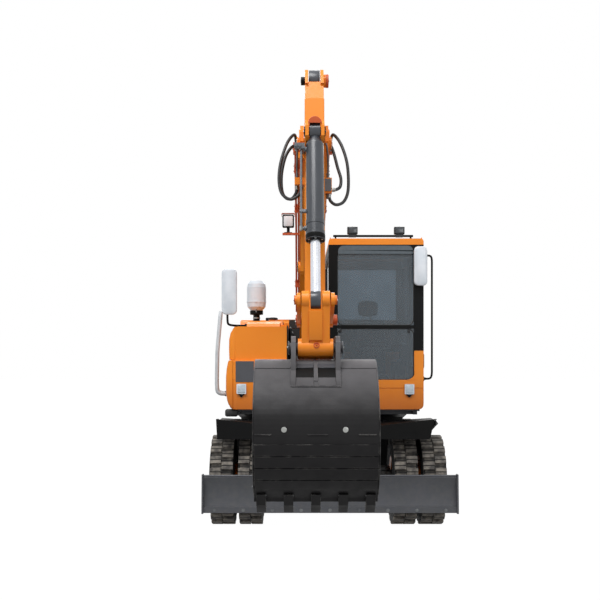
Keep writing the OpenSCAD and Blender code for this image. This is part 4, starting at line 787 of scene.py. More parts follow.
def makeArmDetails():
    def bridge(mesh):
        arc = [(boomMiddle + x, 3176 + z) for x, z in around(24, 46)[:13]]
        addRings(mesh, [[spot(x, y, z + (y + 3950) * 0.25) for x, z in arc] for y in (-3966, -3880)])
    # the bridge takes the darker copy of the orange paint: painted shade over the eye's recess
    makePiece("arm_eye_bridge", orangeShade, "arm", bridge, 3)

    def ports(mesh):
        # upper port block with its plugs, beside the cylinder's pipe
        addBox(mesh, (-300, -3960, 3002), (-226, -3920, 3042), 2)
        addBox(mesh, (-240, -3925, 3008), (-226, -3760, 3036), 1)
        for x in (-288, -262):
            addTurned(mesh, (x, -3958, 3022), (x, -3980, 3022), [(0, 13), (4, 13), (4, 10), (12, 10)], 6)
        # lower block under the hoses
        for x in (-281, -250):
            addTurned(mesh, (x, -3716, 2849), (x, -3716, 2870), [(0, 14), (6, 14), (6, 10), (20, 10)], 6)
    makePiece("arm_port_blocks", pipePaint, "arm", ports, 1.5)

    def valve(mesh):
        addBox(mesh, (-92, -3770, 2752), (-43, -3758, 2838), 1)
        addTurned(mesh, (-66, -3725, 2740.5), (-66, -3725, 2700), [(0, 18), (6, 18), (6, 13), (30, 13), (36, 8)], 20)
        addTurned(mesh, (-66, -3725, 2845), (-66, -3725, 2900),
                  [(0, 17), (8, 17), (8, 11), (24, 11), (24, 14), (34, 14), (36, 10)], 6)
    makePiece("arm_valve_plugs", pipePaint, "arm", valve, 1)

    def sidePipes(mesh):
        # steel pipes on the arm's left side, from the lower block up to the upper one
        for x in (-281, -250):
            route = [(x, -3716, 2868), (x, -3736, 2930), (x + 2, -3900, 2990), (x + 2, -3938, 3004)]
            addCurve(mesh, route, 7.5, 10)
        route = [(-66, -3725, 2880), (-66, -3735, 2960), (-74, -3790, 3040), (-82, -3800, 3075)]
        addCurve(mesh, route, 7.5, 10)
    makePiece("arm_side_pipes", pipePaint, "arm", sidePipes)

    def nipple(mesh):
        addTurned(mesh, (-154, -4250, 1681), (-154, -4268, 1684), [(0, 20), (7, 20), (9, 18), (9, 13), (5, 12)], 28)
        addTurned(mesh, (-154, -4250, 1681), (-154, -4268, 1684), [(4, 5), (14, 5), (16, 6.5), (19, 3)], 12)
    makePiece("link_nipple", orangeShade, "bucket_link", nipple)

    def seams(mesh):
        # weld beads along the arm's edges
        back = [(-3508, 3290), (-3484, 3070), (-3563, 2790), (-3802, 1895), (-3868, 1700)]
        front = [(-3998, 1880), (-3957, 2300), (-3877, 2750), (-3797, 3060), (-3772, 3200), (-3743, 3395)]
        for line in (back, front):
            for x in (-225.5, -94.5):
                addBead(mesh, x, line, 3)
    makePiece("arm_weld_beads", orangePaint, "arm", seams)
    print("arm details")


# Bucket: [y, z] from its pin, as in the part's source

bucketPin = (-3950, 1660)
bucketLine = [(-110, -75), (-215, -80), (-330, -145), (-440, -265), (-520, -405), (-552, -560), (-535, -700),
              (-470, -840), (-375, -945)]


def bucketPoints(offset, low, high):
    # points of the shell's outer line between two places, moved outwards
    line = [point * 1000 for point in smoothRoute([(0, y / 1000, z / 1000) for y, z in bucketLine], 5)]
    moved = []
    for i in range(low, high + 1):
        t = line[min(i + 1, len(line) - 1)] - line[max(i - 1, 0)]
        t.normalize()
        moved.append((bucketPin[0] + line[i].y + t.z * offset, bucketPin[1] + line[i].z - t.y * offset))
    return moved


def makeBucketDetails():
    def strips(places, low, high, proud):
        def build(mesh):
            for x0, x1 in places:
                outer, inner = bucketPoints(proud, low, high), bucketPoints(-2, low, high)
                addPlate(mesh, outer + inner[::-1], x0, x1)
        return build
    between = ((-285, -174), (-146, -35))
    outside = ((-548, -319), (-1, 228))
    makePiece("bucket_top_doublers", bucketSteel, "bucket", strips(outside, 1, 9, 5), 1.5)
    makePiece("bucket_seat_plates", greyPaint, "bucket", strips(between, 1, 9, 9), 1.5)
    # painted shade: a black plate in the recess between the ears, where the shade falls
    makePiece("bucket_recess_shade_plate", blackPaint, "bucket", strips(between, 9, 12, 4))
    makePiece("bucket_recess_ledge", bucketSteel, "bucket", strips(between, 12, 14, 9), 2)

    def beads(mesh):
        def across(x0, x1, place, radius):
            y, z = bucketPoints(1, place, place)[0]
            route = [spot(x0 + (x1 - x0) * k / 16, y, z + math.sin(k * 2.1) * 1.2) for k in range(17)]
            addTube(mesh, route, radius, 6)
        for x0, x1 in ((-538, -436), (-212, -90), (99, 206)):
            across(x0, x1, 24, 5)
        across(-545, 225, 28, 2.5)
        for x in (-317.5, -286.5, -33.5, -2.5):
            addBead(mesh, x, bucketPoints(7, 2, 9), 5)
        for x in (-549, 229):
            addBead(mesh, x, bucketPoints(0.5, 3, 38), 4)
    makePiece("bucket_weld_beads", bucketSteel, "bucket", beads)

    def plugs(mesh):
        for x, z in ((-358, 1170), (19, 1176)):
            place = min(range(10, 30), key=lambda i: abs(bucketPoints(0, i, i)[0][1] - z))
            y, up = bucketPoints(-1, place, place)[0]
            addTurned(mesh, (x, y, up), (x, y - 1, up), [(0, 17), (5, 17), (6, 15), (6, 0.5)], 24)
    makePiece("bucket_plugs", zincSteel, "bucket", plugs)

    def cutters(mesh):
        for x0, x1 in ((-556, -549), (229, 236)):
            outline = [(-340, -915), (-180, -598), (-70, -400), (-130, -400), (-250, -610), (-395, -880),
                       (-392, -915)]
            addPlate(mesh, [(bucketPin[0] + y, bucketPin[1] + z) for y, z in outline], x0, x1)
            way = -1 if x0 < -300 else 1
            for y, z in ((-190, -660), (-265, -800), (-330, -880)):
                addBolt(mesh, (x0 if way < 0 else x1, bucketPin[0] + y, bucketPin[1] + z), (way, 0, 0), 20, 9)
    makePiece("bucket_side_cutters", greyPaint, "bucket", cutters, 1)

    def pins(mesh):
        for i in range(-2, 3):
            x = boomMiddle + i * 170
            for side in (-1, 1):
                ends = [(x + side * out, -4318, 722) for out in (29, 34)]
                addTurned(mesh, *ends, [(0, 9), (4, 9), (5, 7)], 12)
            addTube(mesh, [spot(x - 30, -4366, 741), spot(x + 30, -4366, 741)], 4, 6)
    makePiece("teeth_locks", wornSteel, "bucket", pins)
    print("bucket")


# Lamps and mirrors

def makeLamps():
    headlights = ((-823, 1288), (791, 1285))  # [x, z]
    roofLamps = (196, 647)  # left edges, across
    tailLamps = {"tail_lamps_red": (redLens, 1330), "tail_lamps_amber": (amberLens, 1440)}

    def onTail(x, z, proud):
        # a place before the round tail, and the way out
        out = Vector((x, math.sqrt(tailRadius ** 2 - x ** 2), 0)).normalized()
        return out * (tailRadius + proud) + Vector((0, 0, z)), out

    def lampBody(mesh):
        addShell(mesh, (-415, -312, 2745, 2858), 12, [(-2030, 2), (-2028, 0), (-2004, 0), (-1985, 8), (-1970, 26)])
        addShell(mesh, (-412, -315, 2748, 2855), 11, [(-2034, 1), (-2029, 0)])
        addBox(mesh, (-400, -2010, 2700), (-330, -1970, 2708))
        addBox(mesh, (-376, -2010, 2700), (-350, -1990, 2752))
    lamp = makePiece("boom_work_lamp", blackPaint, "boom", lampBody, 1.5)
    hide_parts("boom_lamp")
    makePiece("boom_lamp_lens", whitePlastic, "boom",
              lambda mesh: addShell(mesh, (-404, -323, 2756, 2847), 8, [(-2033, 0), (-2036, 1), (-2038, 6)]))

    def hood(mesh):
        arc = [(-422, 2846), (-422, 2864), (-416, 2870), (-311, 2870), (-305, 2864), (-305, 2846)]
        inner = [(-309, 2846), (-309, 2862), (-313, 2866), (-414, 2866), (-418, 2862), (-418, 2846)]
        addRings(mesh, [[spot(x, y, z) for x, z in arc + inner] for y in (-2050, -1985)])
        addBox(mesh, (-414, -2012, 2684), (-260.3, -1968, 2702))
    makePiece("boom_lamp_hood", orangeShade, "boom", hood)

    def headRims(mesh):
        for x, z in headlights:
            addShell(mesh, (x - 46, x + 46, z - 33, z + 64), 6, [(-1274, 0), (-1270, 0), (-1262, 2)])
    makePiece("headlight_rims", palePlastic, "upper_body", headRims)

    def headLenses(mesh):
        for x, z in headlights:
            addShell(mesh, (x - 36, x + 36, z - 24, z + 55), 5, [(-1273.5, 0), (-1276, 1), (-1278, 5)])
    makePiece("headlight_lenses", lampGlass, "upper_body", headLenses)

    def roofLenses(mesh):
        for x in roofLamps:
            addShell(mesh, (x + 9, x + 89, 2801, 2855), 10, [(-1262.5, 0), (-1265, 1), (-1267, 6)])
    makePiece("roof_lamp_lenses", smokedLens, "upper_body", roofLenses)

    def roofRims(mesh):
        for x in roofLamps:
            addShell(mesh, (x + 2, x + 96, 2796, 2861), 13, [(-1263, 1), (-1261, 0), (-1253, 0)])
            addShell(mesh, (x + 10, x + 88, 2762, 2800), 8, [(-1252, 2), (-1250, 0), (-1228, 0)])
            addBolt(mesh, (x + 49, -1220, 2862), (0, 0, 1), 16)
    makePiece("roof_lamp_rims", darkPlastic, "upper_body", roofRims)

    def wires(mesh):
        for x in (245, 696):
            route = [(x, -1200, 2828), (x, -1180, 2815), (x - 6, -1175, 2785), (x - 10, -1195, 2772),
                     (x + 10, -1215, 2769)]
            addCurve(mesh, route, 4, 8)
    makePiece("roof_lamp_wires", hoseRubber, "upper_body", wires)

    def tails(mesh):
        for x in lampSides:
            for _, z in tailLamps.values():
                at, out = onTail(x, z, -4)
                addTurned(mesh, at, at + out, [(0, 46), (16, 46), (20, 42), (20, 40)], 28)
    makePiece("tail_lamp_rims", darkPlastic, "upper_body", tails)
    for name, (material, z) in tailLamps.items():
        def lenses(mesh):
            for x in lampSides:
                at, out = onTail(x, z, 14)
                addTurned(mesh, at, at + out, [(0, 40), (5, 39), (10, 33), (13, 20)], 28)
        makePiece(name, material, "upper_body", lenses)

    def shells(mesh):
        addShell(mesh, (-1020, -872, 2020, 2470), 46, [(-1160, 4), (-1163, 1), (-1172, 0), (-1183, 5), (-1190, 22)])
        addShell(mesh, (828, 956, 2290, 2668), 42, [(-1300, 4), (-1303, 1), (-1312, 0), (-1323, 5), (-1330, 20)])
    mirror = makePiece("mirror_shells", palePlastic, "upper_body", shells)
    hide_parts("mirrors")

    def glasses(mesh):
        addShell(mesh, (-1012, -880, 2028, 2462), 40, [(-1161, 0), (-1158, 1)])
        addShell(mesh, (836, 948, 2298, 2660), 36, [(-1301, 0), (-1298, 1)])
    makePiece("mirror_glasses", mirrorGlass, "upper_body", glasses)

    def arms(mesh):
        route = [(-786, -1060, 1917), (-900, -1090, 1917), (-960, -1130, 1925), (-966, -1148, 1960),
                 (-968, -1150, 2240)]
        addBentTube(mesh, route, 40, 11, 12)
        addTurned(mesh, (-800, -1064, 1917), (-770, -1056, 1917), [(0, 20), (30, 20), (32, 17)], 16)
        addBox(mesh, (-984, -1158, 2200), (-950, -1140, 2290))
        addBentTube(mesh, [(900, -1250.3, 2560), (900, -1288, 2560), (893, -1296, 2480)], 14, 9, 12)
        addTurned(mesh, (900, -1250, 2560), (900, -1262, 2560), [(0, 22), (9, 22), (11, 19)], 16)
        addBox(mesh, (878, -1300, 2440), (910, -1286, 2520))
    makePiece("mirror_arms", blackPaint, "upper_body", arms, 1)
    print("lamps and mirrors")


# Housing and hood: panels, clamps, latches, grilles, filler cap, air cleaner, exhaust

def makeHousingDetails():
    def panel(mesh):
        addFace(mesh, roundedOutline(-879, -704, 1368, 1569, 6), -1254, -1248)
        addBox(mesh, (-876, -1249, 1400), (-734, -1236.5, 1560))
    makePiece("front_recess_panel", greyPaint, "upper_body", panel, 1)

    def buffer(mesh):
        addShell(mesh, (-986, -862, 1032, 1104), 20, [(-1205, 8), (-1200, 2), (-1190, 0), (-1140, 0), (-1132, 4)])
    makePiece("body_rubber_buffer", sealRubber, "upper_body", buffer)

    def latches(mesh):
        for x in (-700, 660):
            addBox(mesh, (x - 34, 1561, 1800), (x + 34, 1567, 1860), 2)
            addTurned(mesh, (x, 1566, 1830), (x, 1580, 1830), [(0, 20), (10, 18), (13, 12)], 20)
        for y in (-1000, -300, 160):
            addBox(mesh, (-980 if y < -700 else -946, y - 30, 1330), (-939, y + 30, 1372), 2)
    makePiece("panel_latches", darkPlastic, "upper_body", latches, 1.5)

    def grille(mesh):
        for x in (-907, 907):
            for k in range(46):
                y = 560 + k * 12
                addBox(mesh, (x - 1.5, y, 1290), (x + 1.5, y + 3, 1700))
            for k in range(28):
                z = 1296 + k * 14.5
                addBox(mesh, (x - 2.5, 556, z), (x + 0.5, 1106, z + 3))
    makePiece("bay_grille_mesh", darkPlastic, "upper_body", grille, smooth=False)

    def slats(mesh):
        for z in range(1310, 1671, 60):
            addBothSides(mesh, 912, 938, (562, z), (1098, z + 4))
    makePiece("bay_slats", orangePaint, "upper_body", slats, 1)

    def cap(mesh):
        x, y = -560, 100
        addUpright(mesh, x, y, 2022, [(0, 46), (1, 50), (20, 50), (24, 46), (25, 30), (27, 28), (27, 10)], 32)
        for dx, dy in around(10, 49):
            addUpright(mesh, x + dx, y + dy, 2024, [(0, 5), (16, 5), (18, 3)], 8)
    makePiece("filler_cap", darkPlastic, "upper_body", cap)

    cleanerX, cleanerY = -725, -250

    def bands(mesh):
        x, y = cleanerX, cleanerY
        addUpright(mesh, x, y, 2190, [(0, 102), (1, 104.5), (17, 104.5), (18, 102)], 48)
        addUpright(mesh, x, y, 2346, [(0, 101), (1, 103), (9, 102), (10, 99)], 48)
        addBolt(mesh, (x, y - 104, 2199), (0, -1, 0), 16, 9)
    makePiece("cleaner_bands", palePlastic, "upper_body", bands)

    def clips(mesh):
        x, y = cleanerX, cleanerY
        for dx, dy in around(3, 70, -90):
            addUpright(mesh, x + dx, y + dy, 2086, [(0, 6), (24, 6), (26, 8), (34, 8)], 8)
        addUpright(mesh, x, y, 2020, [(0, 37), (0.5, 39), (14, 39), (15, 36)], 32)
    makePiece("cleaner_clamps", zincSteel, "upper_body", clips)

    def pipe(mesh):
        # the outlet ends just above the hood, because the front view shows white there; then the cleaner's stem
        x, y = -600, 250
        outlet = [(0, 62), (12, 62), (14, 60), (14, 46), (62, 46), (66, 44), (66, 40), (20, 39)]
        stem = [(0, 52), (10, 52), (16, 36), (74, 35), (78, 66), (82, 70), (116, 70), (119.5, 67)]
        addUpright(mesh, x, y, 1985.5, outlet, 40)
        addUpright(mesh, cleanerX, cleanerY, 1985.5, stem, 48)
        for dx, dy in around(4, 54, 45):
            addBolt(mesh, (x + dx, y + dy, 1999), (0, 0, 1), 12)
    exhaust = makePiece("exhaust_and_stem", blackPaint, "upper_body", pipe)
    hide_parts("exhaust")

    def seams(mesh):
        # raised lines pressed into the sides and the hood
        for y in (-540, -80):
            addBead(mesh, -941, [(y, 1200), (y, 1800)], 3)
        addBox(mesh, (-600, 470, 2030), (500, 478, 2042), 2)
    makePiece("housing_ribs", orangePaint, "upper_body", seams)
    print("housing")


# Cab: seals, latches, door skin, handles, rail ends

def makeCabDetails():
    sealRadius = 6

    def sideLoop(mesh, x, outline):
        addLoop(mesh, [(x, y, z) for y, z in outline], sealRadius)

    def seals(mesh):
        # lower and upper screen, rear window; then the left side and behind the door
        for y, outline in ((-1236, roundedOutline(101, 835, 1393, 1883, 60)),
                           (-1236, roundedOutline(101, 835, 1917, 2638, 60)),
                           (318, roundedOutline(122, 828, 1742, 2598, 20))):
            addLoop(mesh, [(x, y, z) for x, z in outline], sealRadius)
        sideLoop(mesh, 27, roundedOutline(-1128, 228, 1722, 2598, 20))
        sideLoop(mesh, 918, roundedOutline(-238, 238, 1742, 2598, 20))
    makePiece("window_seals", sealRubber, "upper_body", seals)

    makePiece("door_window_seal", sealRubber, "door",
              lambda mesh: sideLoop(mesh, 918, roundedOutline(-1068, -392, 1522, 2568, 20)))

    def latches(mesh):
        for x in (130, 788):
            addShell(mesh, (x - 13, x + 13, 1842, 1872), 6, [(-1256, 3), (-1253, 0), (-1246, 0)])
            addTurned(mesh, (x, -1256, 1857), (x, -1262, 1857), [(0, 7), (5, 7), (6, 5)], 12)
    makePiece("windscreen_latches", darkPlastic, "upper_body", latches)

    def skin(mesh):
        addPlate(mesh, roundedOutline(-1122, -338, 1188, 1506, 22), 929, 933.5)
        addPlate(mesh, roundedOutline(-1060, -400, 1240, 1440, 30), 933, 936.5)
    makePiece("door_skin", orangePaint, "door", skin, 1.5)

    def handle(mesh):
        outer = [(936, -1097, 1510), (948, -1097, 1510), (948, -1097, 1630), (936, -1097, 1630)]
        inner = [(886, -1090, 1300), (862, -1090, 1300), (862, -1090, 1700), (886, -1090, 1700)]
        addBentTube(mesh, outer, 8, 8, 10)
        addTurned(mesh, (931, -1097, 1475), (932, -1097, 1475), [(0, 17), (10, 17), (12, 14)], 20)
        addBentTube(mesh, inner, 20, 9, 10)
    makePiece("door_handle", darkPlastic, "door", handle)

    makePiece("door_seal", sealRubber, "upper_body",
              lambda mesh: sideLoop(mesh, 887, roundedOutline(-1134, -326, 1176, 2644, 12)))

    def feet(mesh):
        for z in (1400, 2590):
            addTurned(mesh, (930, -1215, z), (931, -1215, z), [(0, 24), (6, 24), (9, 21), (10, 13), (24, 12)], 20)
    makePiece("cab_rail_feet", blackPaint, "upper_body", feet)

    def gutter(mesh):
        for x in (32, 913):
            addTube(mesh, [spot(x, -1240, 2757), spot(x, 320, 2757)], 5, 8)
        addBox(mesh, (180, -700, 2776), (765, -80, 2784), 6)
    makePiece("roof_hatch", orangePaint, "upper_body", gutter, 1.5)

    def inside(mesh):
        # display, levers' boots and the sun blind
        addShell(mesh, (740, 850, 1560, 1700), 10, [(-1000, 2), (-997, 0), (-975, 0), (-972, 3)])
        addTube(mesh, spots([(795, -985, 1560), (800, -960, 1450)]), 9, 8)
        for x in (180, 770):
            addTurned(mesh, (x, -640, 1558), (x, -652, 1600),
                      [(0, 42), (10, 36), (14, 38), (22, 28), (26, 30), (36, 17), (44, 14)], 20)
        addBox(mesh, (120, -1180, 2560), (815, -1172, 2630))
    makePiece("cab_inside", panelPlastic, "upper_body", inside, 1.5)
    print("cab")


# Undercarriage: mudguard ribs, wheel details, tool box lids, steps, bolts of blade and slew ring, pipes

wheels = {"wheel_front_left": (1, -halfBase), "wheel_front_right": (-1, -halfBase),
          "wheel_rear_left": (1, halfBase), "wheel_rear_right": (-1, halfBase)}


def makeUndercarriage():
    def ribs(mesh):
        for side in (-1, 1):
            for x in (500, 760):
                lift = (x - 330) * math.tan(math.radians(3.6))
                line = [(-1604, 908 + lift), (-1520, 946 + lift), (-1380, 967 + lift), (-1020, 967 + lift),
                        (-880, 947 + lift)]
                addBead(mesh, side * x, line, 4)
                addBead(mesh, side * x, [(-y, z - lift) for y, z in line[:4]], 4)
    makePiece("mudguard_ribs", blackPaint, "chassis", ribs)

    for body, (side, y) in wheels.items():
        def onWheel(out, dy, dz):
            return side * out, y + dy, axleHeight + dz

        def nuts(mesh):
            for place in around(8, 128):
                addTurned(mesh, onWheel(895, *place), onWheel(896, *place), [(0, 8), (9, 8), (11, 6)], 12)
            for place in around(6, 40, 15):
                addBolt(mesh, onWheel(947, *place), (side, 0, 0), 13)
            addTurned(mesh, onWheel(948, 0, 0), onWheel(949, 0, 0), [(0, 24), (4, 24), (6, 20), (6, 9), (12, 8)], 20)
        makePiece(f"{body}_studs", zincSteel, body, nuts)

        def valve(mesh):
            a, b = (onWheel(out, *around(1, radius, 70)[0]) for out, radius in ((930, 178), (985, 160)))
            addTurned(mesh, a, b, [(0, 8), (12, 6), (14, 4), (36, 4), (37, 5.5), (46, 5.5), (47, 4)], 10)
        makePiece(f"{body}_valve", zincSteel, body, valve)

        def beads(mesh):
            # rings pressed into the sidewalls
            for x in tyreMiddles:
                for way in (-1, 1):
                    for radius, out in ((262, 101), (300, 104), (352, 101)):
                        addLoop(mesh, [onWheel(x + way * out, *place) for place in around(48, radius)], 2.6, 6)
        makePiece(f"{body}_sidewall_rings", tyreRubber, body, beads)

    def lids(mesh):
        for x0, x1 in ((-965, -958), (958, 965)):
            addPlate(mesh, roundedOutline(-20, 660, 505, 822, 14), x0, x1)
        for y in (80, 560):
            addBothSides(mesh, 963, 975, (y - 30, 812), (y + 30, 846))
    makePiece("tool_box_lids", blackPaint, "chassis", lids, 2)

    def locks(mesh):
        for side in (-1, 1):
            for y in (150, 490):
                addTurned(mesh, (side * 964, y, 560), (side * 965, y, 560),
                          [(0, 19), (8, 19), (10, 15), (10, 6), (16, 5)], 20)
    makePiece("tool_box_locks", zincSteel, "chassis", locks)

    def treads(mesh):
        for z in (510, 690):
            for y in range(-416, -105, 62):
                addBothSides(mesh, 864, 958, (y, z), (y + 26, z + 5))
    makePiece("step_treads", zincSteel, "chassis", treads, 1)

    def bolts(mesh):
        for radius, first, z, way in ((440, 0, 959, 1), (447, math.degrees(0.1), 881, -1)):
            for x, y in around(28, radius, first):
                addBolt(mesh, (x, y, z), (0, 0, way), 20)
    makePiece("slew_ring_bolts", zincSteel, "chassis", bolts)

    def edge(mesh):
        for i in range(-4, 5):
            addBolt(mesh, (i * 250, -2155.5, 284), (0, -1, 0), 26, 8)
    makePiece("cutting_edge_bolts", wornSteel, "blade", edge)

    def bladeBeads(mesh):
        for x in (-914, -614, 579, 879):
            for z in (332, 558):
                addBead(mesh, x, [(-2108, z), (-2060, z)], 3)
        for side in (-1, 1):
            for x in (216, 284):
                addBead(mesh, side * x, [(-2106, 345), (-2106, 498)], 5)
    makePiece("blade_weld_beads", greyPaint, "blade", bladeBeads)

    def lines(mesh):
        # pipes from the slew ring's middle to the axles and the blade
        for x in (-120, -95, 95, 120):
            route = [(x, -1380, 620), (x, -1300, 690), (x * 1.2, -900, 700), (x * 1.3, -480, 640)]
            addCurve(mesh, route, 7, 8)
    makePiece("chassis_pipes", pipePaint, "chassis", lines)
    print("undercarriage")


# Seat: cushions with crowned faces, blown up by a short cloth simulation

def crownedBlock(low, high, crown, tilt, pivot):
    # cushion between two corners [x, y, z], with rounded sides, tilted about X
    mesh = bmesh.new()
    size = [high[i] - low[i] for i in range(3)]
    bmesh.ops.create_cube(mesh, size=2)
    bmesh.ops.subdivide_edges(mesh, edges=mesh.edges, cuts=7, use_grid_fill=True)
    turn = Matrix.Rotation(math.radians(tilt), 3, "X")
    for vert in mesh.verts:
        p = vert.co
        squares = [value ** 2 for value in p]
        pairs = [(squares[(i + 1) % 3], squares[(i + 2) % 3]) for i in range(3)]
        q = [p[i] * math.sqrt(max(1 - a * 0.22 - b * 0.22 + a * b * 0.1, 0.2)) for i, (a, b) in enumerate(pairs)]
        pull = 1 - crown * (p.x ** 4 + p.y ** 4) / 2 if abs(p.z) > 0.5 else 1
        at = Vector([(low[i] + high[i]) / 2 + q[i] * size[i] / 2 for i in range(3)])
        at.z = (low[2] + high[2]) / 2 + q[2] * size[2] / 2 * pull
        at = turn @ (at - Vector(pivot)) + Vector(pivot)
        vert.co = spot(*at)
    return mesh


def makeSeat():
    # voxel in metres, pressure as the cloth takes it, the longest way that a point may move
    spec = {"voxel": 0.006, "pressure": 4.0, "frames": 16, "capMm": 8}
    # two corners, crown, tilt in degrees, pivot
    pads = {
        "seat_cushion": ((262, -628, 1334), (688, -160, 1430), 0.18, 0, (475, -400, 1380)),
        "seat_backrest": ((272, -212, 1440), (678, -112, 2010), 0.12, -10, (475, -160, 1440)),
        "seat_headrest": ((366, -196, 2044), (584, -112, 2216), 0.15, -8, (475, -120, 2040))}
    for name, (low, high, crown, tilt, pivot) in pads.items():
        mesh = crownedBlock(low, high, crown, tilt, pivot)
        piece = finishPiece(name, mesh, seatFabric, "upper_body", 0)
        remesh = piece.modifiers.new("remesh", "REMESH")
        remesh.mode = "VOXEL"
        remesh.voxel_size = spec["voxel"]
        applyModifiers(piece)
        before = [vert.co.copy() for vert in piece.data.vertices]
        cloth = piece.modifiers.new("cloth", "CLOTH")
        cloth.settings.use_pressure = True
        cloth.settings.uniform_pressure_force = spec["pressure"]
        cloth.settings.effector_weights.gravity = 0
        for step in range(1, spec["frames"] + 1):
            bpy.context.scene.frame_set(step)
        applyModifiers(piece)
        bpy.context.scene.frame_set(1)
        cap = spec["capMm"] / 1000
        for vert, old in zip(piece.data.vertices, before):
            move = vert.co - old
            if move.length > cap:
                vert.co = old + move.normalized() * cap
        smooth = piece.modifiers.new("smooth", "SUBSURF")
        smooth.levels = smooth.render_levels = 1
        for face in piece.data.polygons:
            face.use_smooth = True
        if name == "seat_cushion":
            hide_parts("seat")

    def base(mesh):
        addBox(mesh, (335, -515, 1165.3), (615, -185, 1185))
        for k in range(7):
            z = 1185 + k * 17
            inset = 10 if k % 2 else 0
            addBox(mesh, (350 + inset, -500 + inset, z), (600 - inset, -200 - inset, z + 17))
        addBox(mesh, (300, -600, 1304), (650, -160, 1334), 4)
        addBox(mesh, (330, -172, 1330), (620, -140, 1420))
        for x in (440, 510):
            addTube(mesh, spots([(x, -62, 1900), (x, -52, 2070)]), 8, 10)
    makePiece("seat_suspension", darkPlastic, "upper_body", base, 3)

    def shell(mesh):
        back = [(-128, 1420), (-104, 1500), (-20, 2010), (-36, 2022), (-120, 1520), (-150, 1440)]
        addPlate(mesh, back, 284, 666)
    makePiece("seat_back_shell", darkPlastic, "upper_body", shell, 6)

    def seams(mesh):
        # sewn channels over the cushion, pressed in as thin piping
        for x in (355, 595):
            route = [(x, -620, 1382), (x, -600, 1424), (x, -400, 1434), (x, -190, 1428)]
            addCurve(mesh, route, 3.5, 8)
    makePiece("seat_piping", sealRubber, "upper_body", seams)
    print("seat")


# Boom: weld beads, bolts of the pipe clamps, couplings on the pipe blocks

def makeBoomDetails():
    low = [(-700, 1568), (-1000, 1840), (-1400, 2210), (-1700, 2440), (-2050, 2605), (-2500, 2730), (-3150, 2910),
           (-3380, 2979)]
    high = [(-3380, 3219), (-3000, 3140), (-2500, 3040), (-2200, 2976), (-1560, 2680), (-1000, 2150), (-560, 1728)]

    def beads(mesh):
        for line in (low, high):
            for x in (-261, -59):
                addBead(mesh, x, line, 3.2)
    makePiece("boom_weld_beads", orangePaint, "boom", beads)

    def bolts(mesh):
        for y, z in ((-1300, 2312), (-2300, 2868), (-3050, 3055)):
            for x, way in ((-306, -1), (-36, 1)):
                for up in (-20, 20):
                    addBolt(mesh, (x, y, z + up), (way, 0, 0), 13)
        for x, way in ((-310, -1), (-24, 1)):
            for y in (-3400, -3360):
                addBolt(mesh, (x, y, 3132), (way, 0, 0), 14)
        for x in (-287, -42):
            for z in (3115, 3150):
                addTurned(mesh, (x, -3415, z), (x, -3421, z), [(0, 13), (5, 13), (6, 11)], 20)
    makePiece("boom_clamp_bolts", zincSteel, "boom", bolts)
    print("boom")


# Front plates of the mudguards: [outer x above, outer x below], the top falls towards the middle

def makeGuardFronts():
    def plates(mesh):
        for side, topOut, lowOut in ((-1, 1028, 1018), (1, 972, 932)):
            def section(x, top, back):
                return [(x, -1647, 853), (x, -1647, top), (x, -1400, back), (x, -1400, back - 14),
                        (x, -1633, top - 16), (x, -1633, 853)]
            inner = section(side * 338, 962, 976)
            outer = section(side * topOut, 1036, 1020)
            for i in (0, 5):
                outer[i] = (side * lowOut, outer[i][1], 853)
            outer[2] = (side * 1029, -1400, 1020)
            outer[3] = (side * 1029, -1400, 1006)
            addRings(mesh, [spots(inner), spots(outer)])
            # folded edge along the outer side
            addTube(mesh, spots([outer[0], outer[1], outer[2]]), 5, 8)
    makePiece("mudguard_fronts", blackPaint, "chassis", plates, 2)
    print("mudguard fronts")


# Skins over the outer side of the front housing: [x, z] from below to above, then front and rear end

def makeSideSkins():
    skins = {
        "lower": ([(-912, 1108), (-948, 1150), (-962, 1190), (-971, 1240), (-975, 1310), (-974, 1420), (-967, 1500),
                   (-955, 1560), (-948, 1576), (-912, 1583)], -1250.6, -660),
        "upper": ([(-888, 1578), (-944, 1583), (-948, 1680), (-946, 1780), (-932, 1842), (-908, 1880), (-880, 1898),
                   (-870, 1890)], -1215.6, -660)}
    for name, (outline, y0, y1) in skins.items():
        def skin(mesh):
            middleX, middleZ = -900, sum(z for x, z in outline) / len(outline)

            def shrunk(amount):
                # drawn in towards the middle, much across and little up and down
                return [(x + (middleX - x) * amount * 0.3, z + (middleZ - z) * amount * 0.02) for x, z in outline]
            sections = ((y0, 1.0), (y0 + 6, 0.3), (y0 + 20, 0), (y1 - 20, 0), (y1, 0.8))
            addRings(mesh, [[spot(x, y, z) for x, z in shrunk(amount)] for y, amount in sections])
        makePiece(f"housing_skin_{name}", orangePaint, "upper_body", skin)

    def filler(mesh):
        addBox(mesh, (-906, -1251, 1394), (-878, -1236.5, 1566))
    makePiece("recess_filler", orangePaint, "upper_body", filler, 2)

    def well(mesh):
        # dark sheets lining the boom's well: painted shade, where the well stands in shadow
        addBox(mesh, (-386, 392, 1110), (12, 399.5, 1932))
        addBox(mesh, (-386, 399, 1936), (12, 408, 2036))
        for x in (-340, -250, -60):
            addBox(mesh, (x, 386, 1140), (x + 12, 393, 1900))
        addBox(mesh, (-387.5, -1180, 1112), (-384, 390, 1925))
    makePiece("boom_well_shade_sheet", sealRubber, "upper_body", well, 1.5)

    def hoses(mesh):
        # hoses from the valves up to the boom's foot
        for k, x in enumerate((-372, -350, -328)):
            route = [(x, -330 + k * 30, 1300), (x, -360 + k * 30, 1650), (x + 6, -430, 1880 - k * 40),
                     (x + 14, -560, 1900 - k * 50), (x + 26, -650, 1780 - k * 40)]
            addCurve(mesh, route, 12, 10, 6)
    makePiece("boom_foot_pipes", blackPaint, "upper_body", hoses)
    print("side skins")


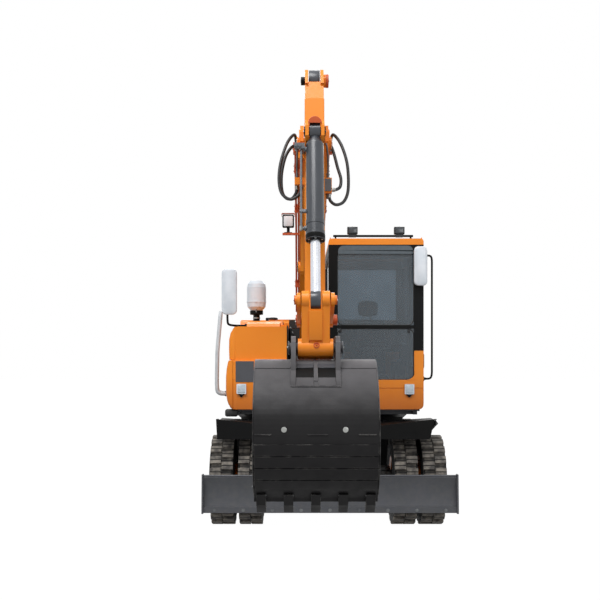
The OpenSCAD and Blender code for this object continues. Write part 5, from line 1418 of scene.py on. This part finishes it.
def makeRails():
    def rail(mesh):
        front = [(-950, -1130, 1252), (-1062, -1158, 1252), (-1070, -1160, 1340), (-1064, -1150, 1680),
                 (-1036, -1110, 2048), (-1050, -905, 2048), (-1084, -900, 1680), (-1090, -900, 1340),
                 (-1080, -905, 1252), (-950, -920, 1252)]
        addBentTube(mesh, front, 60, 19, 16)
    tank = makePiece("tank_rail", palePaint, "upper_body", rail)
    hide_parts("handrails")

    def cabRail(mesh):
        line = [(930.3, -1215, 2590), (1000, -1215, 2590), (1014, -1215, 2560), (1014, -1215, 1440),
                (1000, -1215, 1400), (930.3, -1215, 1400)]
        addBentTube(mesh, line, 30, 10, 12)
    makePiece("cab_rail", blackPaint, "upper_body", cabRail)

    def feet(mesh):
        for y in (-1130, -920):
            addTurned(mesh, (-946, y, 1252), (-947, y, 1252),
                      [(0, 34), (6, 34), (9, 31), (9, 25), (44, 25), (46, 22)], 24)
            for t in (0.6, 2.2, 3.7, 5.3):  # turns in radians
                addBolt(mesh, (-952, y + 28 * math.cos(t), 1252 + 28 * math.sin(t)), (-1, 0, 0), 8)
    makePiece("tank_rail_feet", blackPaint, "upper_body", feet)
    print("rails")


# Eyes of the rods, painted dark over the chrome: body, [y, z], radius, half width

def makeRodEyes():
    eyes = {"arm_rod": ((-3600, 3560), 73, 38.5), "boom_rod": ((-2000, 2401), 53.5, 41.5),
            "bucket_rod": ((-4250, 1970), 57, 32.5)}
    for body, ((y, z), radius, half) in eyes.items():
        def eye(mesh):
            outline = [(0, radius - 3), (0.6, radius), (3, radius + 1), (half * 2 - 3, radius + 1),
                       (half * 2 - 0.6, radius), (half * 2, radius - 3)]
            addTurned(mesh, (boomMiddle - half, y, z), (boomMiddle + half, y, z), outline, 40)
        makePiece(f"{body}_eye", cylinderPaint, body, eye)


def makeFrontPlates():
    def link(mesh):
        # front plate between the link's sides
        outer = [(-4292, 1900), (-4278, 1760), (-4262, 1712)]
        inner = [(-4252, 1712), (-4268, 1760), (-4282, 1900)]
        addPlate(mesh, outer + inner, -203, -117)
    makePiece("link_front_plate", orangePaint, "bucket_link", link, 2)

    def feet(mesh):
        for x0, x1 in ((-318, -286), (-34, -2)):
            outer, inner = bucketPoints(15, 7, 14), bucketPoints(-2, 7, 14)
            outer[0] = inner[0]
            outer[-1] = bucketPoints(3, 14, 14)[0]
            addPlate(mesh, outer + inner[::-1], x0, x1)
    makePiece("bucket_ear_feet", bucketSteel, "bucket", feet, 2)

    def ledge(mesh):
        y, z = bucketPoints(1, 14, 14)[0]
        addTube(mesh, [spot(x, y, z) for x in (-318, -230, -160, -90, -2)], 6, 8)
    makePiece("bucket_ledge", bucketSteel, "bucket", ledge)

    def bar(mesh):
        addTube(mesh, [spot(x, -2106, 573) for x in (-1095, -400, 400, 1095)], 11, 10)
    makePiece("blade_top_bar", greyPaint, "blade", bar)

    def band(mesh):
        outline = [(x, z) for x, z in roundedOutline(106, 830, 2560, 2682, 56, 6) if z > 2600]
        addFace(mesh, outline + [(106, 2636), (830, 2636)][::-1], -1253.5, -1250.2)
    makePiece("screen_top_band", bandGlass, "upper_body", band)

    def corner(mesh):
        # painted corner of the cab's front, with a large inner curve
        arc = [(768 + x, 1470 - z) for z, x in around(40, 78)[:11]]
        addFace(mesh, [(846, 1388), (760, 1388)] + arc, -1253, -1248)
        addBox(mesh, (838, -1253, 1470), (848, -1249, 1668))
    makePiece("cab_corner_plate", orangePaint, "upper_body", corner)
    print("front plates")


makeHoses()
makeCylinders()
makePins()
makeArmDetails()
makeBoomDetails()
makeBucketDetails()
makeLamps()
makeHousingDetails()
makeCabDetails()
makeSeat()
makeUndercarriage()
makeGuardFronts()
makeSideSkins()
makeRails()
makeRodEyes()
makeFrontPlates()
